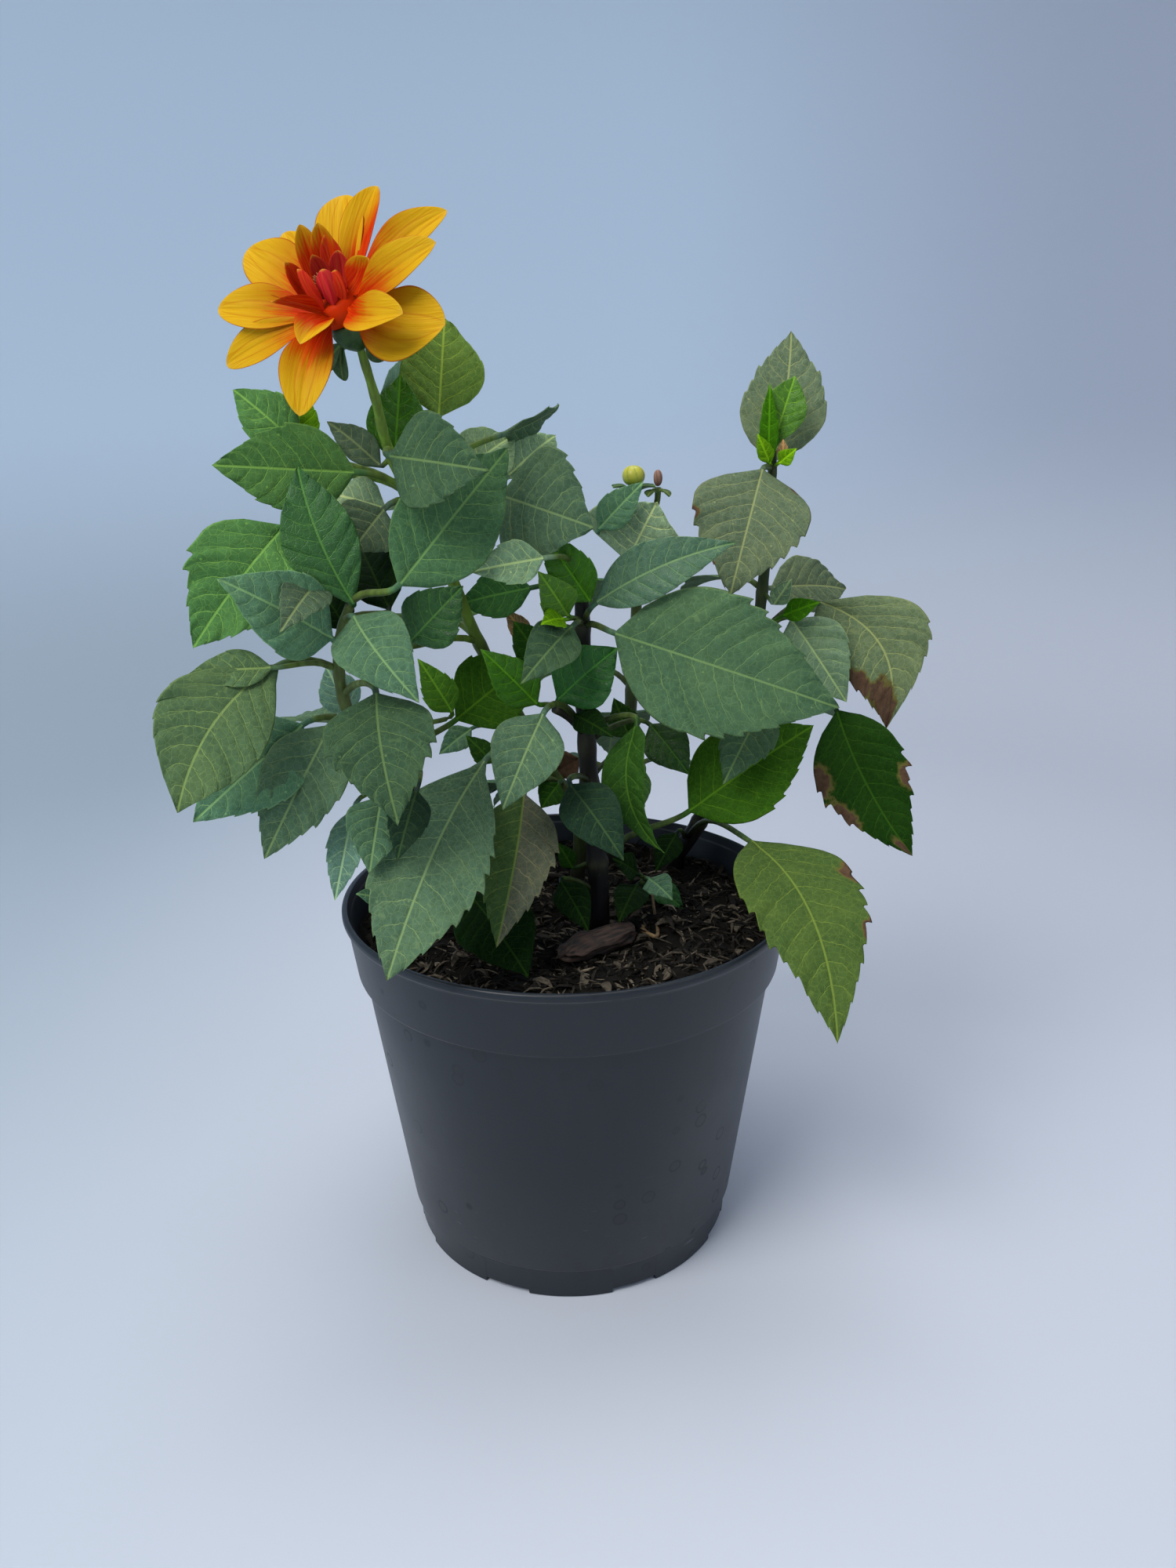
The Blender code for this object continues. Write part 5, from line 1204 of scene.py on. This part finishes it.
def petal_part(petal):
    """A petal on its claw. Two shallow grooves and fine lines run along it, its edges
    ripple a little and its tip is drawn in and curls."""
    picks = np.random.default_rng(name_number(petal.name))
    tip = seen_at_height(petal.tip, petal.high)
    spread = from_axis(tip)
    far = min(np.linalg.norm(spread) / (25 * MM), 1.0)
    base = bloom_point(13.5 - 3.5 * far, unit(spread) * (5.0 + 2.0 * far))
    look = BLOOM_AXIS * 0.5 - unit(spread) * 0.3 + unit(EYE - tip) * 0.7
    if petal.base:
        base = bloom_point(12.5, near * petal.base[0] + aside * petal.base[1])
        look = BLOOM_AXIS * 0.5 - unit(from_axis(base)) * 0.6
        if petal.base[0] < 3.0:
            look = look + unit(EYE - tip)
    blade = Blade(base, tip, petal.width * MM, look, 0.0, petal.arch, petal.bow, petal.fold)
    claw = base - unit(from_axis(base)) * (2.0 * MM) - BLOOM_AXIS * (1.5 * MM)
    u = np.linspace(0.0, 1.0, 52) ** 0.9
    t, away, s = RING_T[None, :], np.abs(RING_T)[None, :], u[:, None]
    full = np.clip(4 * s * (1 - s), 0.0, 1.0)
    groove = np.exp(-((away - 0.36) / 0.09) ** 2) * 0.026 - np.exp(-((away - 0.16) / 0.1) ** 2) * 0.012
    fine = 0.004 * np.sin(t * 34.0 + 1.3 * np.sin(5 * s + picks.uniform(0, 6)))
    ripples = 0.03 * np.sin(9.0 * s + picks.uniform(0, 6) + 1.5 * np.sign(t)) * away ** 3
    cup = -0.05 * (1 - away ** 2) * full
    lift = (-(groove + fine) * full + ripples * full + cup) * blade.width
    points, faces, s, wide = blade_surface(blade, claw, 1.2 * MM, u, petal_half_width, lift,
                                           0.55 * MM, 0.5 * MM)
    red = np.clip(petal.red + petal.side * RING_T + 0.0 * s, 0.0, 1.0)
    return {"points": points, "faces": faces, "finish": upper_or_under(faces),
            "values": {"petal_grid": np.stack([s, RING_T + 0.0 * s, red], -1),
                       "petal_mm": laid_flat(blade, s, wide, petal.pink)}}


def petal_face(name, back):
    """A petal's satin skin: yellow that deepens to orange and then, in streaks along it,
    to scarlet at the base, with fine red edges. The back is more orange. The inner
    petals are scarlet nearly to their yellow tips."""
    finish = new_finish(name, IOR=1.35, Specular_IOR_Level=0.08)
    s, share_across, red = split(at_point(finish, "petal_grid"))
    mm = at_point(finish, "petal_mm")
    pink = split(mm)[2]
    away = abs(share_across)
    streaks = grain(mm, 1.0, (0.07, 1.9, 1.0), 4.0)
    clouds = grain(mm, 0.16)
    reach = red * 0.95 + (0.16 if back else 0.12)
    zone = s - (reach + (streaks - 0.5) * 0.6) + (away - 0.5) * 0.08
    orange = blend(rise(clouds, 0.3, 0.75), (0.48, 0.135, 0.002), (0.54, 0.205, 0.003))
    yellow = blend(rise(streaks, 0.3, 0.75), (0.55, 0.275, 0.004), (0.66, 0.395, 0.012))
    base = blend(rise(zone, 0.42, 0.02), yellow, orange)
    if back:
        base = blend(0.5, base, (0.54, 0.15, 0.002))
    crimson = blend(pink, (0.42, 0.004, 0.001), (0.38, 0.006, 0.016))
    bright_red = blend(pink, (0.62, 0.050, 0.002), (0.58, 0.030, 0.040))
    groove = rise(abs(away - 0.36), 0.07, 0.0)
    edge = rise(away, 0.94, 0.99) * rise(s, 1.0, 0.75)
    base = over(base, (rise(zone, 0.16, -0.10), blend(rise(streaks, 0.25, 0.7), crimson, bright_red)),
                (groove * 0.4, (0.42, 0.105, 0.002)),
                (edge * 0.7, (0.38, 0.035, 0.002)),
                (rise(s, 0.93, 1.0) * 0.55, (0.62, 0.36, 0.03)))
    return coat(finish, Base_Color=base, Roughness=clouds * 0.15 + 0.40,
                Normal=bump(streaks, 0.35, 0.0004))


def floret_skin():
    """Closed florets: dark red-brown with orange tips."""
    finish = new_finish("floret", Roughness=0.45)
    flecks = grain(object_place(finish), 900.0)
    base = over(blend(flecks, (0.12, 0.010, 0.008), (0.24, 0.030, 0.016)),
                (rise(split(at_point(finish, "floret_tip"))[0], 0.55, 1.0), (0.46, 0.15, 0.03)))
    return coat(finish, Base_Color=base, Normal=bump(flecks, 0.3, 0.0002))


def bract_part(blade, root, root_r, tint):
    """A small smooth-edged bract: a leaf's surface without teeth or side veins."""
    u = np.linspace(0.0, 1.0, 22)
    away = np.abs(RING_T)[None, :]
    lift = 0.06 * blade.width * away ** 2 + 0.0 * u[:, None]
    points, faces, s, wide = blade_surface(blade, root, root_r, u, petal_half_width, lift,
                                           0.6 * MM, 0.5 * MM)
    own_number = np.linalg.norm(blade.tip - blade.start) * 3000
    grid = np.stack([np.full(s.shape, 0.25), RING_T + 0.0 * s, np.full(s.shape, 50.0)], -1)
    return {"points": points, "faces": faces, "finish": upper_or_under(faces),
            "values": {"leaf_grid": grid, "leaf_mm": laid_flat(blade, s, wide, own_number),
                       "leaf_tint": tint, "leaf_state": (0.7, 0.0, 0.0)}}


turns = np.radians(BRACTS_UNSEEN)
bract_tips = [seen_at_height(pixel, high) for pixel, high in BRACTS_SEEN]
bract_tips += [bloom_point(-6.0, (near * math.cos(turn) + aside * math.sin(turn)) * 17.0) for turn in turns]
plant["stem_bloom"].append(plain_part(*on_bloom(CUP_PROFILE, 40), BRACT_GREEN))
for tip in bract_tips:
    way = unit(from_axis(tip))
    look = unit(EYE - tip) + way * 0.4 + BLOOM_AXIS * 0.4
    blade = Blade(bloom_point(0.0, way * 5.8), tip, 7.5 * MM, look, 0.0, 0.08, 0.0, 10.0)
    plant["stem_bloom"].append(bract_part(blade, bloom_point(1.0, way * 2.5), STALK_R, BRACT_GREEN))

core_points, core_faces = on_bloom(CORE_PROFILE, 40)
core = {"points": core_points, "faces": core_faces,
        "values": {"petal_grid": (0.0, 0.0, 1.0), "petal_mm": (0.0, 0.0, 0.0)}}
petals = new_piece("ray_petals", [core] + [petal_part(petal) for petal in PETALS],
                   [petal_face("petal_front", False), petal_face("petal_back", True)])
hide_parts("bloom_petals")
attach(petals, "root")


def floret_part(high_mm, radial_mm, way, size_mm):
    """A closed floret: a ring of points about its own line, its radius the sine of half a
    turn times the 0.6th power of the share along it, drawn to a blunt point."""
    u = np.linspace(0.0, 1.0, FLORET_ROWS)[:, None, None]
    ring = even_turns(FLORET_SIDES)[None, :, None]
    side = unit(np.cross(way, np.array((0.3, 0.9, 0.1))))
    around = side * np.cos(ring) + np.cross(way, side) * np.sin(ring)
    radius = 0.17 * size_mm * np.sin(math.pi * u ** 0.62)
    points = bloom_point(high_mm, radial_mm) + (way * (size_mm * u) + around * radius) * MM
    return {"points": points, "faces": grid_faces(FLORET_ROWS, FLORET_SIDES, True),
            "values": {"floret_tip": u}}


disc_points, disc_faces = on_bloom(DISC_PROFILE, 24)
florets = [{"points": disc_points, "faces": disc_faces, "values": {"floret_tip": (0.0, 0.0, 0.0)}}]
for k in range(DISC_FLORETS):
    share = (k + 0.5) / DISC_FLORETS
    turn = GOLDEN_TURN * k
    out = near * math.cos(turn) + aside * math.sin(turn)
    radius = 2.6 * math.sqrt(share)
    high = 22.0 - 4.8 * share ** 1.5
    way = unit(BLOOM_AXIS + out * (0.15 + 0.55 * share))
    florets.append(floret_part(high - 2.0, out * radius, way, 3.4 + 1.3 * share))
disc = new_piece("disc_florets", florets, [floret_skin()])
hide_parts("bloom_disc")
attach(disc, "root")


# Buds
# Two buds end the stem behind: one still shut, a tight ball of yellow-green petals on
# spread green bracts, and one that has flowered and dried.

YELLOW_END = seen_at(*STEMS["stem_back"].way[-1])
SPENT_END = seen_at(*SHOOTS[1].way[-1])
BUD_ROWS = 30
BUD_SIDES = 60


def bud_skin(name, young, old, wet):
    """Shut petals: each shades from its base to its tip, with fine lines along it."""
    finish = new_finish(name, Roughness=wet)
    up, seam = split(at_point(finish, "bud_up"))[:2]
    lines = grain(object_place(finish), 1.0, (900.0, 900.0, 150.0))
    base = over(blend(rise(up, 0.1, 0.75), old, young),
                (rise(seam, 0.35, 0.0) * 0.6, old), (lines * 0.3, old))
    return coat(finish, Base_Color=base, Normal=bump(lines, 0.4, 0.0002))


def bud_part(end, radius, half_high, folds, depth):
    """A shut bud: a ball of shut petals. Its radius is the sine of half a turn times the
    share up it, and it dips by depth in the seams between folds, which lean round it."""
    u = np.linspace(0.0, 1.0, BUD_ROWS)[:, None]
    ring = even_turns(BUD_SIDES)[None, :]
    fold = np.mod(folds * ring / (2 * math.pi) + 0.9 * u, 1.0)
    seam = np.minimum(fold, 1.0 - fold) * 2
    size = radius * np.sin(math.pi * u) ** 0.85 * (1.0 - depth * (1.0 - seam) ** 3 - depth * 0.8 * fold)
    high = half_high * (1.0 - np.cos(math.pi * u)) + 0.0 * ring
    points = np.stack([size * np.cos(ring), size * np.sin(ring), high], -1)
    return {"points": end + (points + Z * 0.6) * MM, "faces": grid_faces(BUD_ROWS, BUD_SIDES, True),
            "values": {"bud_up": np.stack([u + 0.0 * ring, seam, 0.0 * size], -1)}}


def bud_bracts(end, count, reach, lift, tint):
    """Bracts that spread from under a bud."""
    parts = []
    for turn in 2 * math.pi * (np.arange(count) + 0.5) / count:
        out = np.array((math.cos(turn), math.sin(turn), 0.0))
        start = end + (out * 2.2 - Z) * MM
        blade = Blade(start, end + (out * reach + Z * lift) * MM, 4.5 * MM, Z, 0.0, 0.1, 0.0, 8.0)
        parts.append(bract_part(blade, end - Z * (2.2 * MM), 0.8 * MM, tint))
    return parts


plant["stem_back"] += bud_bracts(YELLOW_END, 6, 10.5, 0.5, (0.055, 0.125, 0.030))
plant["stem_back"] += bud_bracts(SPENT_END, 4, 6.5, -3.5, (0.060, 0.110, 0.030))
for name, end, radius, half_high, folds, depth, young, old, wet in (
        ("bud_yellow", YELLOW_END, 5.0, 4.3, 7, 0.07, (0.62, 0.56, 0.05), (0.24, 0.33, 0.035), 0.4),
        ("bud_spent", SPENT_END, 2.1, 3.4, 5, 0.2, (0.36, 0.20, 0.14), (0.14, 0.06, 0.04), 0.7)):
    bud = new_piece(name + "_petals", [bud_part(end, radius, half_high, folds, depth)],
                    [bud_skin(name + "_skin", young, old, wet)])
    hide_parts(name)
    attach(bud, "root")
    "bud_green" if name == "bud_yellow" else "bud_dry"

for name, parts in plant.items():
    piece = new_piece(name + "_leaves", parts, green_finishes)
    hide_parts(name)
    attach(piece, "root")


# Floor and light
# The pot stands on a plain pale studio floor that curves up all round. The main soft light
# comes from the upper left and the front, a weaker one from above and behind, and the
# weakest from the right.

def studio_white():
    """Matt white sheet, darker far to the left, and pale blue up the wall, with painted shade that darkens
    the wall to the right.
    """
    finish = new_finish("studio_white", Roughness=0.7)
    place = object_place(finish)
    x, z = split(place)[::2]
    flat = over(blend(grain(place, 1.2), (0.60, 0.63, 0.70), (0.66, 0.69, 0.75)),
                (rise(x, 0.0, -0.45), (0.42, 0.49, 0.56)))
    # Painted shade: the wall darkens to the right, where the plant's shadow falls on it
    wall = blend(rise(x, 0.1, 0.8), (0.56, 0.68, 0.81), (0.42, 0.47, 0.57))
    return coat(finish, Base_Color=blend(rise(z, 0.02, 0.35), flat, wall))


cove = np.linspace(0.0, math.pi / 2, 14)
floor_profile = [(0.0, 0.0)] + [(0.15 * k, 0.0) for k in range(1, 6)]
floor_profile += list(zip(0.8 + 0.6 * np.sin(cove), 0.6 - 0.6 * np.cos(cove))) + [(1.4, 1.6)]
points, faces = turned(floor_profile, even_turns(96))
floor_piece = new_piece("studio_floor", [{"points": points, "faces": faces[:, ::-1]}], [studio_white()])


LIT_PLACE = np.array((0.0, 0.0, 0.2))


def soft_light(name, place, width, power, tone):
    """A round softbox at place that faces the plant."""
    lamp = bpy.data.lights.new(name, "AREA")
    lamp.shape = "DISK"
    lamp.size = width
    lamp.energy = power
    lamp.color = tone
    back = unit(np.array(place) - LIT_PLACE)
    side = unit(np.cross(Z, back))
    new_object(name, lamp).matrix_world = standing(side, np.cross(back, side), back, place)


soft_light("key", (-0.60, -0.70, 1.15), 0.8, 13.0, (1.0, 0.985, 0.96))
soft_light("fill", (0.9, -0.5, 0.9), 0.9, 1.6, (0.94, 0.97, 1.0))
soft_light("top", (0.05, 0.30, 1.3), 0.8, 5.0, (0.96, 0.98, 1.0))
world = bpy.data.worlds.new("studio")
world.use_nodes = True
world.node_tree.nodes["Background"].inputs["Color"].default_value = (0.84, 0.90, 1.0, 1.0)
world.node_tree.nodes["Background"].inputs["Strength"].default_value = 0.30
bpy.context.scene.world = world
bpy.context.scene.view_settings.view_transform = "Standard"
